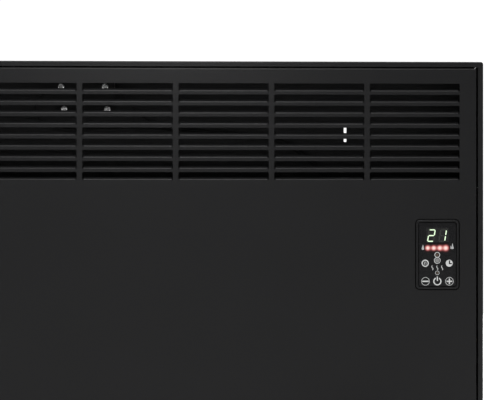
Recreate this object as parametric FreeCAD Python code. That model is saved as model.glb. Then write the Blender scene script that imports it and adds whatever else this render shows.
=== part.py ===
"""Electric panel convector heater, free-standing on two feet, with a digital touch control.

A shallow steel casing holds a flat front panel with a louvred outlet along its top. Air enters through the
underside, passes a finned heating element and leaves through the louvres. A partition on the right keeps the
electronics, the mains rocker and the tip-over switch out of the hot chamber.

Frame: millimetres, +Z up, the front faces -Y, +X is the viewer's right. The origin is on the floor below the
middle of the casing. Each named piece is written to parts/NAME.step.

"Height" is measured from the floor, "rise" from the underside of the casing or from the middle of the control
panel, "drop" downwards from a piece's top, and "inset" inwards from a side.
"""
import FreeCAD
import Part
import math
import os

V = FreeCAD.Vector

# ---------------------------------------------------------------- driving dimensions
# Casing
case_width = 888.0          # X
case_height = 400.0         # Z
case_depth = 75.0           # Y, rear wall to the front rim
lift = 30.0                 # floor to the underside of the casing
sheet = 0.8                 # thickness of the casing and front panel sheets
thin_sheet = 0.6            # thickness of the inner sheets
case_corner = 3.0           # outer corner radius, seen from the front
mouth_corner = 2.0          # corner radius of the opening inside the rim
bend = 1.5                  # outer radius of a bent sheet edge
rim_width = 5.8             # front rim that frames the panel
rim_return = 6.0            # depth of the rim's inner fold

# Front panel
panel_gap = 1.8             # shadow gap between rim and panel
panel_proud = 0.4           # how far the panel stands in front of the rim
panel_corner = 1.6
panel_flange = 14.0         # depth of the panel's folded edge
panel_screw_rise = 70.0
panel_screw_drop = 150.0    # casing top to the upper side screws

# Louvres
louvre_rows = 9
row_pitch = 12.2
opening_height = 7.4
slot_length = 99.2
slot_corner = 1.4
bar_width = 6.0             # upright bar between two columns of slots
grille_margin = 16.0        # least width of plain panel beside the slots
grille_drop = 24.3          # casing top to the first opening
lip_depth = 4.6             # inward reach of each louvre lip
lip_rise = 2.4              # how far a lip climbs over that reach
lip_bend = 1.6              # outer radius where a lip leaves the face

# Control panel: its face
control_inset = 50.8        # casing side to the middle of the bezel
control_drop = 212.6        # casing top to the middle of the bezel
bezel_width = 47.2
bezel_height = 76.2
bezel_corner = 4.4
bezel_rim = 2.3             # width of the raised frame
bezel_edge = 0.6            # rounding of the frame's front edge
bezel_proud = 0.8           # height of the frame above the panel
bezel_gap = 1.1             # gap round the bezel in the panel
bezel_lap = 2.5             # how far the bezel's flange laps behind the panel
bezel_flange = 3.0          # thickness of that flange
lens_corner = 2.8
lens_thickness = 1.6
lens_recess = 0.5           # lens face below the bezel's face
lens_gap = 0.25
lens_ledge = 1.5            # width of the step that the lens rests on

# Control panel: what is behind it
touch_gap = 8.8             # lens to touch board
board_thickness = 1.6
digit_block = (25.0, 8.0, 19.0)
digit_drop = 17.1           # top of the bezel to the middle of the display
led_radius = 1.5
led_pitch = 6.6
led_drop = 31.1             # top of the bezel to the level lights
led_gap = 0.6               # tip of a light to the lens
indicator_radius = 1.2
spring_radius = 2.2
key_inset = 10.35           # side of the bezel to the outer keys
upper_key_inset = 28.1      # bottom of the bezel to the upper keys
lower_key_inset = 8.1
ring_step = 7.4             # level lights down to the first indicator
mode_step = 13.9            # level lights down to the middle key
housing_wall = 4.0
housing_floor = 2.0
housing_depth = 20.0
board_play = 0.2            # gap round the touch board
lug_size = 16.0
lug_thickness = 3.0
stud_radius = 1.5
stud_length = 11.0
stud_nut = (5.5, 2.4)       # across flats, height

# Heating chamber
element_rise = 85.0         # middle of the tube
element_inset = 42.5        # casing side to the left bracket
bay_width = 120.5           # casing side to the partition
element_stop = 22.0         # right bracket to the partition
fin_reach_y = 18.0
fin_reach_z = 35.0
fin_thickness = 1.6
fin_boss = 7.0              # radius of the body round the tube
fin_clearance = 12.0        # bracket to the fins
tube_radius = 4.0
tube_overhang = 10.0        # tube beyond each bracket
pin_radius = 1.6
pin_length = 6.0
bush_radius = 9.5
bush_neck = 7.0             # radius where a bush sits in its bracket
bush_cheek = 4.0            # bush on each side of the bracket
element_bracket_half = 45.0
flange_width = 14.0         # rear flanges of the element brackets and the partition
shield_stand_off = 8.5      # heat shield to the rear wall
shield_rise = 20.0
shield_drop = 22.0          # roof of the electrical bay to the top of the shield
shield_flange = 12.0
shield_inset = 10.0         # element bracket to the shield

# Partition
roof_drop = 8.7             # lowest louvre opening to the roof of the electrical bay
partition_gap = 3.0         # partition to the front panel
upper_grommet_drop = 82.0   # roof to the upper wire passage
passage_radius = 6.0
grommet_bore = 4.0
grommet_rim = 8.0
grommet_cheek = 1.5

# Middle bracket that carries the overheat cut-out
bracket_width = 70.0
bracket_screw_span = 49.0
bracket_low_drop = 48.0     # casing top to the lower pair of screws
bracket_high_drop = 25.0    # casing top to the upper pair of screws
bracket_reach = 32.0        # rear wall to the bracket's front flange
bracket_edge = 8.0          # screws to the bracket's ends
mica_thickness = 1.0
mica_half = 7.0
cutout_radius = 7.8
cutout_cap = (6.5, 1.2)     # radius, height
cutout_depth = 7.0
cutout_flange = (30.0, 1.0, 9.0)
tab_size = (12.0, 0.8, 6.3)
tab_middle = 9.0            # middle of the cut-out to the middle of a tab

# Rear wall and underside
hook_inset = 149.2          # casing side to the middle of a wall slot
hook_slot_width = 3.1
hook_slot_length = 17.8
hook_drop = 76.15           # casing top to the slot's middle
fixing_rise = 40.0          # lower wall fixings
fixing_radius = 2.6
air_slot = (36.0, 5.0)      # slots in the underside
air_slot_pitch = 48.0
air_slot_rows = 4
air_row_pitch = 12.0
air_slot_margin = 30.0
vent_rows = 3               # slots behind the electrical bay
vent_length = 60.0
vent_drop = 11.0            # roof of the bay to the first of them
bead_inset = 184.0          # casing side to the ends of the pressed ribs
bead_height = 9.0
bead_proud = 1.8
bead_shield_drops = (20.0, 60.0, 100.0)     # top of the heat shield down to the three lower ribs
bead_drop = 100.0           # casing top to the highest rib

# Electrical bay
board_size = (78.0, 112.0)
board_drop = 147.0          # roof of the bay to the board's lower edge
board_inset = 20.0          # casing side to the board
board_stand_off = 8.0
board_hole_inset = 5.0
spacer_radius = 3.5
spacer_pin = 1.5
spacer_knob = (2.2, 2.4)    # radius, height of the snap end
relay_size = (22.0, 16.0, 16.0)
relay_places = ((20.0, 42.0), (20.0, 66.0))         # from the board's lower left corner
transformer_place = (56.0, 80.0)
transformer_core = (28.0, 16.0, 18.0)
transformer_coil = (20.0, 15.0, 24.0)
transformer_gap = 2.0       # core to the board
capacitor_places = ((44.0, 52.0), (58.0, 52.0), (72.0, 52.0))
capacitor_size = (5.0, 13.0)                        # radius, height
flat_capacitor = (53.0, 35.0, 26.0, 13.0, 10.0)     # place, then size
terminal_ways = 6
terminal_pitch = 10.0
terminal_place_on_board = (10.0, 10.0)
terminal_depth = 14.0
terminal_height = 14.0
terminal_mouth = (1.8, 7.0)     # radius, depth
terminal_screw = (2.6, 2.0)
terminal_axis = 5.0         # board to the middle of a wire
gland_rise = 40.0
gland_inset = 62.0
gland_bore = 4.2
gland_thread = 7.5
gland_inner = 9.0           # thread inside the rear wall
gland_flange = (11.0, 3.0)  # radius, thickness
gland_nose = 10.0
gland_nut_size = (19.0, 5.0)
earth_rise = 90.0
earth_y = 18.0
earth_head = (4.0, 3.0)
earth_length = 15.0
earth_nut_size = (7.0, 3.2)
sensor_place = (26.0, -20.0, 16.0)   # from the partition, the casing's middle and its floor
sensor_radius = 2.5
sensor_length = 14.0

# Mains rocker
rocker_rise = 26.5
rocker_flange = (14.0, 31.0)
rocker_flange_thickness = 1.7
rocker_cutout = (12.0, 27.0)
rocker_body_depth = 19.0
rocker_well_depth = 10.0
rocker_wall = 1.4
rocker_clearance = 0.35
rocker_axle_radius = 1.5
rocker_axle_inset = 1.0     # casing side to the axle
rocker_rest_angle = 8.0     # it rests tipped this far, and swings to the other side
rocker_tab = (7.0, 4.8, 0.8)
rocker_tab_rises = (-9.0, 0.0)

# Tip-over switch
tilt_case = (20.0, 34.0, 44.0)
tilt_wall = 1.6
tilt_rise = 12.0
tilt_rear_gap = 28.7        # rear wall to the middle of the switch
tilt_ear = (2.0, 10.0, 12.0)
tilt_pin_drop = 9.0         # top of the switch to its pin
tilt_pin_radius = 1.0
tilt_pin_clearance = 0.05
pendulum_hub = (3.0, 10.0)          # radius, length
pendulum_weight = (5.5, 8.0, 17.0)  # radius, length, distance below the pin
pendulum_arm = (4.0, 3.0, 22.0)
pendulum_shutter = (1.0, 6.0, 27.0)
gate_base = (12.0, 6.0, 2.0)
gate_tower = (3.0, 10.0)    # width, height
gate_tower_offset = 4.5

# Wiring
wire_radius = 1.1
thin_wire_radius = 0.8
lead_spacing = 2.6          # between the middles of two leads that run side by side
lead_height = 5.0           # left element lead above the casing floor
lead_y = -12.0
clip_pitch = 180.0
clip_inset = 60.0           # left bracket to the first clip
ribbon_width = 14.0
ribbon_thickness = 1.0
ribbon_inset = 13.0         # bottom of the touch board to the flat cable
header_drop = 14.0          # top of the power board to the flat cable
socket_depth = (5.0, 6.0)
socket_height = 6.0

# Feet
foot_inset = 144.0          # casing side to the middle of a foot
foot_width = 34.0
foot_length = 236.0
foot_toe = 12.0             # height of the foot's ends
foot_lip_gap = 1.6          # lips of the foot to the front panel
foot_lip_thickness = 4.0
foot_floor = 4.0            # thickness under the casing
foot_wall = 3.0
foot_edge = 2.0             # rounding of the foot's upper edges
foot_rib = 2.0
foot_clearance = 0.3        # casing to each lip
foot_screw_y = 20.0
pad_radius = 9.0
pad_height = 3.0
pad_proud = 2.0             # how far a pad stands below its foot
pad_inset = 5.0             # end of the foot to the pad
pad_edge = 0.8

# Fasteners
screw_radius = 1.9
screw_hole = 2.0
head_radius = 3.6
head_height = 2.2
flat_head_depth = 1.7       # countersunk heads
recess_width = 0.8
recess_depth = 1.0
screw_tail = 3.0            # screw beyond the last sheet it holds
fit = 0.05                  # slip fit between inner pieces
through = 1.0               # how far a cutting tool runs past a face

# ---------------------------------------------------------------- places worked out from them
top = lift + case_height
half_w = case_width / 2
front_y = -case_depth / 2
rear_y = case_depth / 2
rear_in = rear_y - sheet
side_in = half_w - sheet
floor_in = lift + sheet
case_middle = lift + case_height / 2

panel_face = front_y - panel_proud
panel_back = panel_face + sheet
panel_half_w = half_w - rim_width - panel_gap
panel_low = lift + rim_width + panel_gap
panel_high = top - rim_width - panel_gap
flange_end = panel_face + panel_flange
panel_screw_y = flange_end - head_radius

slot_pitch = slot_length + bar_width
louvre_columns = int((2 * (panel_half_w - grille_margin) + bar_width) / slot_pitch)
grille_left = -(louvre_columns * slot_pitch - bar_width) / 2
grille_low = top - grille_drop - (louvre_rows - 1) * row_pitch - opening_height

control_x = half_w - control_inset
control_z = top - control_drop
bezel_face = panel_face - bezel_proud
bezel_back = panel_back + bezel_flange
lens_face = bezel_face + lens_recess
lens_back = lens_face + lens_thickness
touch_face = lens_back + touch_gap
touch_back = touch_face + board_thickness
touch_half_x = (bezel_width - 0.6) / 2
touch_half_z = (bezel_height + 0.2) / 2
housing_half_x = touch_half_x + housing_wall
housing_half_z = touch_half_z + housing_wall
housing_back = bezel_back + housing_depth
stud_rise = housing_half_z + lug_size / 2
led_rise = bezel_height / 2 - led_drop
lower_key_rise = lower_key_inset - bezel_height / 2
mode_rise = led_rise - mode_step
ring_rises = (led_rise - ring_step, (mode_rise + lower_key_rise) / 2 - 0.95)

element_z = lift + element_rise
partition_x = half_w - bay_width
element_left = -half_w + element_inset
element_right = partition_x - element_stop
roof_z = grille_low - roof_drop
grommet_heights = (element_z, roof_z - upper_grommet_drop)
shield_x0, shield_x1 = element_left + shield_inset, element_right - shield_inset
shield_z0, shield_z1 = lift + shield_rise, roof_z - shield_drop
bracket_low_z = top - bracket_low_drop
bracket_high_z = top - bracket_high_drop
bracket_front = rear_in - bracket_reach

board_x0 = half_w - board_inset - board_size[0]
board_z0 = roof_z - board_drop
board_back = rear_in - board_stand_off
board_front = board_back - board_thickness
ribbon_z = control_z - touch_half_z + ribbon_inset
header_z = board_z0 + board_size[1] - header_drop

rocker_z = lift + rocker_rise
rocker_body = (rocker_cutout[0] - 2 * fit, rocker_cutout[1] - 2 * fit)
rocker_well = (rocker_body[0] - 2 * rocker_wall, rocker_body[1] - 2 * rocker_wall)
tilt_x0 = partition_x + thin_sheet
tilt_x = tilt_x0 + tilt_case[0] / 2
tilt_y = rear_in - tilt_rear_gap
tilt_z0 = lift + tilt_rise
tilt_pivot_z = tilt_z0 + tilt_case[2] - tilt_pin_drop
sensor_x, sensor_y, sensor_z = partition_x + sensor_place[0], sensor_place[1], floor_in + sensor_place[2]
gland_x, gland_z = half_w - gland_inset, lift + gland_rise
foot_x = half_w - foot_inset
hook_x = half_w - hook_inset
shoulder_y = rear_y + foot_clearance + foot_lip_thickness
foot_peak = lift + rim_width + panel_gap - foot_lip_gap


# ---------------------------------------------------------------- helpers
def box(x0, x1, y0, y1, z0, z1):
    return Part.makeBox(x1 - x0, y1 - y0, z1 - z0, V(x0, y0, z0))


def centred_box(x, y, z, size):
    dx, dy, dz = (s / 2 for s in size)
    return box(x - dx, x + dx, y - dy, y + dy, z - dz, z + dz)


def rod(start, axis, radius, length):
    return Part.makeCylinder(radius, length, V(*start), V(*axis))


def ring(start, axis, outer, inner, length):
    return rod(start, axis, outer, length).cut(rod(start, axis, inner, length))


def group(shapes):
    return Part.makeCompound(shapes)


def fused(shapes):
    whole = shapes[0]
    if len(shapes) > 1:
        whole = whole.multiFuse(shapes[1:])
    return whole.removeSplitter()


def rounded_plate(x, z, width, height, radius, y0, y1):
    """An upright plate with rounded corners, centred on x and z."""
    plate = box(x - width / 2, x + width / 2, y0, y1, z - height / 2, z + height / 2)
    return plate.makeFillet(radius, [e for e in plate.Edges if abs(e.tangentAt(0).y) > 0.99])


def lying_slot(x, y, length, width, z0, z1):
    """A round-ended slot along X, cut downwards."""
    plate = box(x - length / 2, x + length / 2, y - width / 2, y + width / 2, z0, z1)
    return plate.makeFillet(round_end(width), [e for e in plate.Edges if abs(e.tangentAt(0).z) > 0.99])


def round_end(width):
    """The largest corner radius that leaves a sliver of flat between two round corners."""
    return width / 2 - 0.01


def front_edges(shape, y):
    """The edges of a shape that lie in the plane at y."""
    return [e for e in shape.Edges if abs(e.BoundBox.YMin - y) < 1e-6 and abs(e.BoundBox.YMax - y) < 1e-6]


def pan_screw(at, axis, length):
    """A cross-recess screw. at is under its head, and axis points along the shank."""
    a = V(*axis)
    tip = V(*at) - a * head_height
    head = Part.makeCylinder(head_radius, head_height, V(*at), a * -1)
    circles = [e for e in head.Edges if e.Curve.TypeId == "Part::GeomCircle"]
    head = head.makeFillet(head_height * 0.45, [e for e in circles if (e.Curve.Center - tip).Length < 1e-6])
    shank = Part.makeCylinder(screw_radius, length, V(*at), a)
    return fused([head, shank]).cut(cross_recess(tip, a))


def flat_screw(at, axis, length):
    """A countersunk cross-recess screw. at is the middle of its head's face, and axis points along the shank."""
    a = V(*axis)
    head = Part.makeCone(head_radius, screw_radius, flat_head_depth, V(*at), a)
    return fused([head, Part.makeCylinder(screw_radius, length, V(*at), a)]).cut(cross_recess(V(*at), a))


def countersink(at, axis):
    """The tool that seats a flat screw's head, with room for its shank."""
    a = V(*axis)
    cone = Part.makeCone(head_radius + fit, screw_hole, flat_head_depth, V(*at), a)
    return cone.fuse(Part.makeCylinder(head_radius + fit, through, V(*at), a * -1))


def cross_recess(tip, a):
    """Two crossed slots cut into a screw head from its tip along a."""
    across = V(0, 0, 1) if abs(a.z) < 0.5 else V(1, 0, 0)
    recess = []
    for u in (across, a.cross(across)):
        arm = Part.makeBox(head_radius * 1.1, recess_width, recess_depth + through)
        arm.translate(V(-head_radius * 0.55, -recess_width / 2, 0))
        turn = FreeCAD.Rotation(u, a.cross(u), a * -1, "ZXY")
        arm.Placement = FreeCAD.Placement(tip + a * recess_depth, turn) * arm.Placement
        recess.append(arm)
    return recess


def screw_holes(places, axis, depth):
    """Holes centred on their places, depth to each side."""
    a = V(*axis)
    return [Part.makeCylinder(screw_hole, 2 * depth, V(*p) - a * depth, a) for p in places]


def hex_nut(at, axis, size, bore):
    """A nut of size (across flats, height) that stands on at and grows along axis."""
    across, height = size
    a = V(*axis)
    other = V(0, 0, 1) if abs(a.z) < 0.5 else V(1, 0, 0)
    side = a.cross(other)
    spokes = [other * math.cos(k * math.pi / 3) + side * math.sin(k * math.pi / 3) for k in range(6)]
    corners = [V(*at) + spoke * (across / math.sqrt(3)) for spoke in spokes]
    nut = Part.Face(Part.makePolygon(corners + corners[:1])).extrude(a * height)
    return nut.cut(Part.makeCylinder(bore, 3 * height, V(*at) - a * height, a))


def route(points):
    """A wire of straight runs joined by arcs as large as the runs allow."""
    pts = [V(*p) for p in points]
    edges = []
    last = pts[0]
    for before, corner, after in zip(pts, pts[1:], pts[2:]):
        back, ahead = before - corner, after - corner
        half_turn = (math.pi - back.getAngle(ahead)) / 2
        reach = 0.45 * min(back.Length, ahead.Length)
        radius = reach / math.tan(half_turn)
        back.normalize()
        ahead.normalize()
        inward = (back + ahead).normalize()
        middle = corner + inward * (radius / math.cos(half_turn) - radius)
        edges.append(Part.LineSegment(last, corner + back * reach).toShape())
        edges.append(Part.Arc(corner + back * reach, middle, corner + ahead * reach).toShape())
        last = corner + ahead * reach
    edges.append(Part.LineSegment(last, pts[-1]).toShape())
    return Part.Wire(edges)


def lead(points, radius=wire_radius):
    """A round wire along a route."""
    start = V(*points[0])
    section = Part.Wire([Part.makeCircle(radius, start, V(*points[1]) - start)])
    return route(points).makePipeShell([section], True, False)


def ribbon(points, width, thickness):
    """A flat cable along a route that stays in one Y-Z plane, its width along X."""
    start = V(*points[0])
    heading = (V(*points[1]) - start).normalize()
    across = V(width / 2, 0, 0)
    up = heading.cross(V(1, 0, 0)) * (thickness / 2)
    corners = [start + across + up, start - across + up, start - across - up, start + across - up]
    section = Part.makePolygon(corners + corners[:1])
    return route(points).makePipeShell([section], True, False)


# ---------------------------------------------------------------- fastener and key places
def rear_screw_places():
    """Screws driven through the rear wall from behind: shield, element brackets and partition."""
    shield_xs = (shield_x0 + 20.0, (shield_x0 + shield_x1) / 2, shield_x1 - 20.0)
    half_flange = shield_flange / 2
    places = [(x, rear_y, z) for x in shield_xs for z in (shield_z0 - half_flange, shield_z1 + half_flange)]
    for x in (element_left - flange_width / 2, element_right + flange_width / 2):
        places += [(x, rear_y, element_z + side * fin_reach_z) for side in (-1, 1)]
    x = partition_x + flange_width / 2 + thin_sheet
    return places + [(x, rear_y, lift + 34.0), (x, rear_y, roof_z - 20.0)]


def side_screw_places():
    heights = (lift + panel_screw_rise, top - panel_screw_drop)
    return [(side * half_w, panel_screw_y, z) for side in (-1, 1) for z in heights]


def foot_screw_places():
    return [(side * foot_x, y, lift) for side in (-1, 1) for y in (-foot_screw_y, foot_screw_y)]


def bracket_screw_places(y, z):
    return [(side * bracket_screw_span / 2, y, z) for side in (-1, 1)]


def housing_screw_places():
    return [(control_x, control_z + side * stud_rise) for side in (-1, 1)]


def tilt_screw_places():
    reach = tilt_case[1] / 2 + tilt_ear[1] / 2
    return [(tilt_x0, tilt_y + side * reach, tilt_z0 + tilt_case[2] / 2) for side in (-1, 1)]


def key_places():
    """(x, z) of the six touch keys."""
    across = bezel_width / 2 - key_inset
    upper = control_z - bezel_height / 2 + upper_key_inset
    lower = control_z + lower_key_rise
    outer = [(control_x + side * across, z) for z in (upper, lower) for side in (-1, 1)]
    return outer + [(control_x, control_z + mode_rise), (control_x, lower)]


# ---------------------------------------------------------------- casing
def underside_slots():
    """Air slots, left out where a foot covers them."""
    count = int((case_width - 2 * air_slot_margin) / air_slot_pitch)
    clear = (foot_width + air_slot[0]) / 2 + 2.0
    slots = []
    for i in range(count):
        x = (i - (count - 1) / 2) * air_slot_pitch
        if abs(abs(x) - foot_x) < clear:
            continue
        for j in range(air_slot_rows):
            y = (j - (air_slot_rows - 1) / 2) * air_row_pitch
            slots.append(lying_slot(x, y, air_slot[0], air_slot[1], lift - through, floor_in + through))
    return slots


def bay_vents():
    """Rows of slots through the rear wall, just under the roof of the electrical bay."""
    x, width = half_w - bay_width / 2, air_slot[1]
    heights = [roof_z - vent_drop - row * air_row_pitch for row in range(vent_rows)]
    return [rounded_plate(x, z, vent_length, width, round_end(width), rear_in - through, rear_y + through)
            for z in heights]


def wall_slots():
    """The two upright slots that hang on wall hooks, and the two holes for screws below them."""
    tools = []
    y0, y1 = rear_in - through, rear_y + through
    for x in (-hook_x, hook_x):
        tools.append(rounded_plate(x, top - hook_drop, hook_slot_width, hook_slot_length, hook_slot_width / 5,
                                   y0, y1))
        tools.append(rod((x, y0, lift + fixing_rise), (0, 1, 0), fixing_radius, y1 - y0))
    return tools


def rear_beads(inset, y0, y1):
    """Long pressed ribs across the rear wall, drawn in by inset."""
    width, height = 2 * (half_w - bead_inset - inset), bead_height - 2 * inset
    heights = [top - bead_drop] + [shield_z1 - drop for drop in bead_shield_drops]
    return [rounded_plate(0, z, width, height, round_end(height), y0, y1) for z in heights]


def rim_fold():
    """The rim's edge turned back into the casing."""
    width, height = case_width - 2 * rim_width, case_height - 2 * rim_width
    outer = rounded_plate(0, case_middle, width + 2 * sheet, height + 2 * sheet, mouth_corner + sheet,
                          front_y + sheet, front_y + rim_return)
    return outer.cut(rounded_plate(0, case_middle, width, height, mouth_corner, front_y, rear_y))


def rear_casing():
    """Tray of folded sheet: rear wall, four sides and the rim round the front panel."""
    outer = rounded_plate(0, case_middle, case_width, case_height, case_corner, front_y, rear_y)
    outer = outer.makeFillet(bend, front_edges(outer, front_y))
    inner = box(-side_in, side_in, front_y + sheet, rear_in, floor_in, top - sheet)
    mouth = rounded_plate(0, case_middle, case_width - 2 * rim_width, case_height - 2 * rim_width,
                          mouth_corner, front_y - through, front_y + sheet + through)
    ridges = []
    for ridge in rear_beads(0, rear_y - sheet / 2, rear_y + bead_proud):
        ridges.append(ridge.makeFillet(bead_proud * 0.6, front_edges(ridge, rear_y + bead_proud)))
    shell = fused([outer.cut(inner).cut(mouth), rim_fold()] + ridges)
    tools = underside_slots() + bay_vents() + wall_slots()
    tools += rear_beads(sheet, rear_in - through, rear_y + bead_proud - sheet)
    past = sheet + 2 * through
    tools.append(rod((gland_x, rear_in - through, gland_z), (0, 1, 0), gland_thread + fit, past))
    tools.append(centred_box(half_w, 0, rocker_z, (2 * past,) + rocker_cutout))
    tools += screw_holes(rear_screw_places(), (0, 1, 0), 3 * sheet)
    tools += screw_holes(bracket_screw_places(rear_in, bracket_low_z), (0, 1, 0), 3 * sheet)
    tools += screw_holes(side_screw_places() + [earth_place()], (1, 0, 0), 3 * sheet)
    tools += [countersink(p, (-math.copysign(1, p[0]), 0, 0)) for p in side_screw_places()]
    tools += screw_holes(foot_screw_places(), (0, 0, 1), 3 * sheet)
    return shell.cut(tools)


# ---------------------------------------------------------------- front panel
def louvre_lip(x, z):
    """The bent lower edge of one opening: it rounds off the face and climbs inwards."""
    slope = math.atan2(lip_rise, lip_depth)
    sweep = math.pi / 2 - slope
    inner = lip_bend - sheet

    def on_arc(radius, angle):
        back, up = radius * math.cos(angle), radius * math.sin(angle)
        return V(x, panel_face + lip_bend - back, z - lip_bend + up)

    low_out, top_out = on_arc(lip_bend, 0), on_arc(lip_bend, sweep)
    low_in, top_in = on_arc(inner, 0), on_arc(inner, sweep)
    along = V(0, math.cos(slope), math.sin(slope)) * lip_depth
    edges = [
        Part.Arc(low_out, on_arc(lip_bend, sweep / 2), top_out).toShape(),
        Part.LineSegment(top_out, top_out + along).toShape(),
        Part.LineSegment(top_out + along, top_in + along).toShape(),
        Part.LineSegment(top_in + along, top_in).toShape(),
        Part.Arc(top_in, on_arc(inner, sweep / 2), low_in).toShape(),
        Part.LineSegment(low_in, low_out).toShape(),
    ]
    return Part.Face(Part.Wire(edges)).extrude(V(slot_length - 2 * slot_corner, 0, 0))


def louvres():
    """The slots to cut and the lips to add, row by row."""
    slots, lips = [], []
    for row in range(louvre_rows):
        high = top - grille_drop - row * row_pitch
        low = high - opening_height
        for column in range(louvre_columns):
            x = grille_left + column * slot_pitch
            slots.append(rounded_plate(x + slot_length / 2, (high + low - lip_bend) / 2, slot_length,
                                       opening_height + lip_bend, slot_corner, panel_face - through,
                                       panel_back + through))
            lips.append(louvre_lip(x + slot_corner, low))
    return slots, lips


def front_panel():
    """Flat sheet with folded edges, a stamped grille and the opening for the control panel."""
    middle = (panel_high + panel_low) / 2
    outer = rounded_plate(0, middle, 2 * panel_half_w, panel_high - panel_low, panel_corner,
                          panel_face, flange_end)
    outer = outer.makeFillet(bend, front_edges(outer, panel_face))
    inner = box(-panel_half_w + sheet, panel_half_w - sheet, panel_back, rear_y,
                panel_low + sheet, panel_high - sheet)
    slots, lips = louvres()
    window = rounded_plate(control_x, control_z, bezel_width + 2 * bezel_gap, bezel_height + 2 * bezel_gap,
                           bezel_corner + bezel_gap, panel_face - through, panel_back + through)
    whole = fused([outer.cut(inner).cut(slots + [window])] + lips)
    return whole.cut(screw_holes(side_screw_places(), (1, 0, 0), 2 * (half_w - panel_half_w)))


def panel_spacers():
    """Short tubes between the casing sides and the panel's flange, one round each side screw."""
    tubes = []
    length = side_in - panel_half_w
    for x, y, z in side_screw_places():
        side = math.copysign(1, x)
        tube = ring((side * side_in, y, z), (-side, 0, 0), head_radius, screw_hole, length)
        tubes.append(tube.cut(countersink((x, y, z), (-side, 0, 0))))
    return group(tubes)


def panel_screws():
    """Countersunk, so the casing's sides stay flush."""
    length = half_w - panel_half_w + sheet + screw_tail
    return group([flat_screw(p, (-math.copysign(1, p[0]), 0, 0), length) for p in side_screw_places()])


# ---------------------------------------------------------------- inner sheets
def partition():
    """Upright wall beside the element. Its top folds over as the roof of the electrical bay."""
    x, front, behind_flange = partition_x, panel_back + partition_gap, flange_end + partition_gap
    wall = box(x, x + thin_sheet, front, rear_in, floor_in, roof_z)
    foot = box(x, x + flange_width + 2 * thin_sheet, rear_in - thin_sheet, rear_in, floor_in, roof_z)
    roof = box(x, panel_half_w - sheet - partition_gap, front, rear_in, roof_z - thin_sheet, roof_z)
    roof_end = box(x, side_in - 1.0, behind_flange, rear_in, roof_z - thin_sheet, roof_z)
    notch = box(x - through, x + thin_sheet + through, front - through, behind_flange,
                lift, panel_low + sheet + partition_gap)
    passages = [rod((x - through, 0, z), (1, 0, 0), passage_radius + fit, thin_sheet + 2 * through)
                for z in grommet_heights]
    holes = screw_holes(rear_screw_places(), (0, 1, 0), 4 * sheet)
    holes += screw_holes(tilt_screw_places(), (1, 0, 0), 4 * sheet)
    return fused([wall, foot, roof, roof_end]).cut([notch] + passages + holes)


def wire_grommets():
    """Rubber rings that line the partition's two wire passages."""
    rings = []
    for z in grommet_heights:
        body = ring((partition_x - grommet_cheek, 0, z), (1, 0, 0), grommet_rim, grommet_bore,
                    thin_sheet + 2 * grommet_cheek)
        groove = ring((partition_x - fit, 0, z), (1, 0, 0), grommet_rim + through, passage_radius,
                      thin_sheet + 2 * fit)
        rings.append(body.cut(groove))
    return group(rings)


def heat_shield():
    """Bright sheet behind the element, standing off the rear wall on two folded edges."""
    y, t = rear_in - shield_stand_off, thin_sheet
    z0, z1 = shield_z0, shield_z1
    faces = [
        (y, y + t, z0, z1),
        (y, rear_in, z0, z0 + t),
        (y, rear_in, z1 - t, z1),
        (rear_in - t, rear_in, z0 - shield_flange, z0 + t),
        (rear_in - t, rear_in, z1 - t, z1 + shield_flange),
    ]
    whole = fused([box(shield_x0, shield_x1, *face) for face in faces])
    return whole.cut(screw_holes(rear_screw_places(), (0, 1, 0), 3 * sheet))


def rear_screws():
    length = sheet + thin_sheet + screw_tail
    return group([pan_screw(p, (0, -1, 0), length) for p in rear_screw_places()])


# ---------------------------------------------------------------- middle bracket and overheat cut-out
def cutout_bracket():
    """Z-shaped bracket: rear flange on the rear wall, front flange just behind the grille."""
    half, y = bracket_width / 2, bracket_front
    low, step = bracket_low_z - bracket_edge, bracket_low_z + bracket_edge
    high = bracket_high_z + bracket_edge
    rear = box(-half, half, rear_in - sheet, rear_in, low, step)
    web = box(-half, half, y, rear_in, step - sheet, step)
    front = box(-half, half, y, y + sheet, step - sheet, high)
    places = bracket_screw_places(rear_in, bracket_low_z) + bracket_screw_places(y, bracket_high_z)
    return fused([rear, web, front]).cut(screw_holes(places, (0, 1, 0), 3 * sheet))


def bracket_screws():
    length = 2 * sheet + screw_tail
    places = bracket_screw_places(rear_in - sheet, bracket_low_z)
    places += bracket_screw_places(bracket_front, bracket_high_z)
    return group([pan_screw(p, (0, 1, 0), length) for p in places])


def cutout_plate():
    """Mica strip that insulates the overheat cut-out from its bracket."""
    y, z = bracket_front + sheet, bracket_high_z
    half = bracket_width / 2
    plate = box(-half, half, y, y + mica_thickness, z - mica_half, z + mica_half)
    return plate.cut(screw_holes(bracket_screw_places(y, z), (0, 1, 0), 3 * mica_thickness))


def cutout_tab_y():
    return bracket_front + sheet + mica_thickness + cutout_cap[1] + cutout_depth + tab_size[1] / 2


def overheat_cutout():
    y, z = bracket_front + sheet + mica_thickness, bracket_high_z
    cap_radius, cap_height = cutout_cap
    cap = rod((0, y, z), (0, 1, 0), cap_radius, cap_height)
    body = rod((0, y + cap_height, z), (0, 1, 0), cutout_radius, cutout_depth)
    flange = centred_box(0, y + cap_height + cutout_flange[1] / 2, z, cutout_flange)
    tabs = [centred_box(side * tab_middle, cutout_tab_y(), z, tab_size) for side in (-1, 1)]
    return fused([body, cap, flange] + tabs)


def cutout_terminal(side):
    """Where a lead meets the cut-out's tab on that side."""
    return (side * (tab_middle + tab_size[0] / 2), cutout_tab_y(), bracket_high_z)


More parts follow.
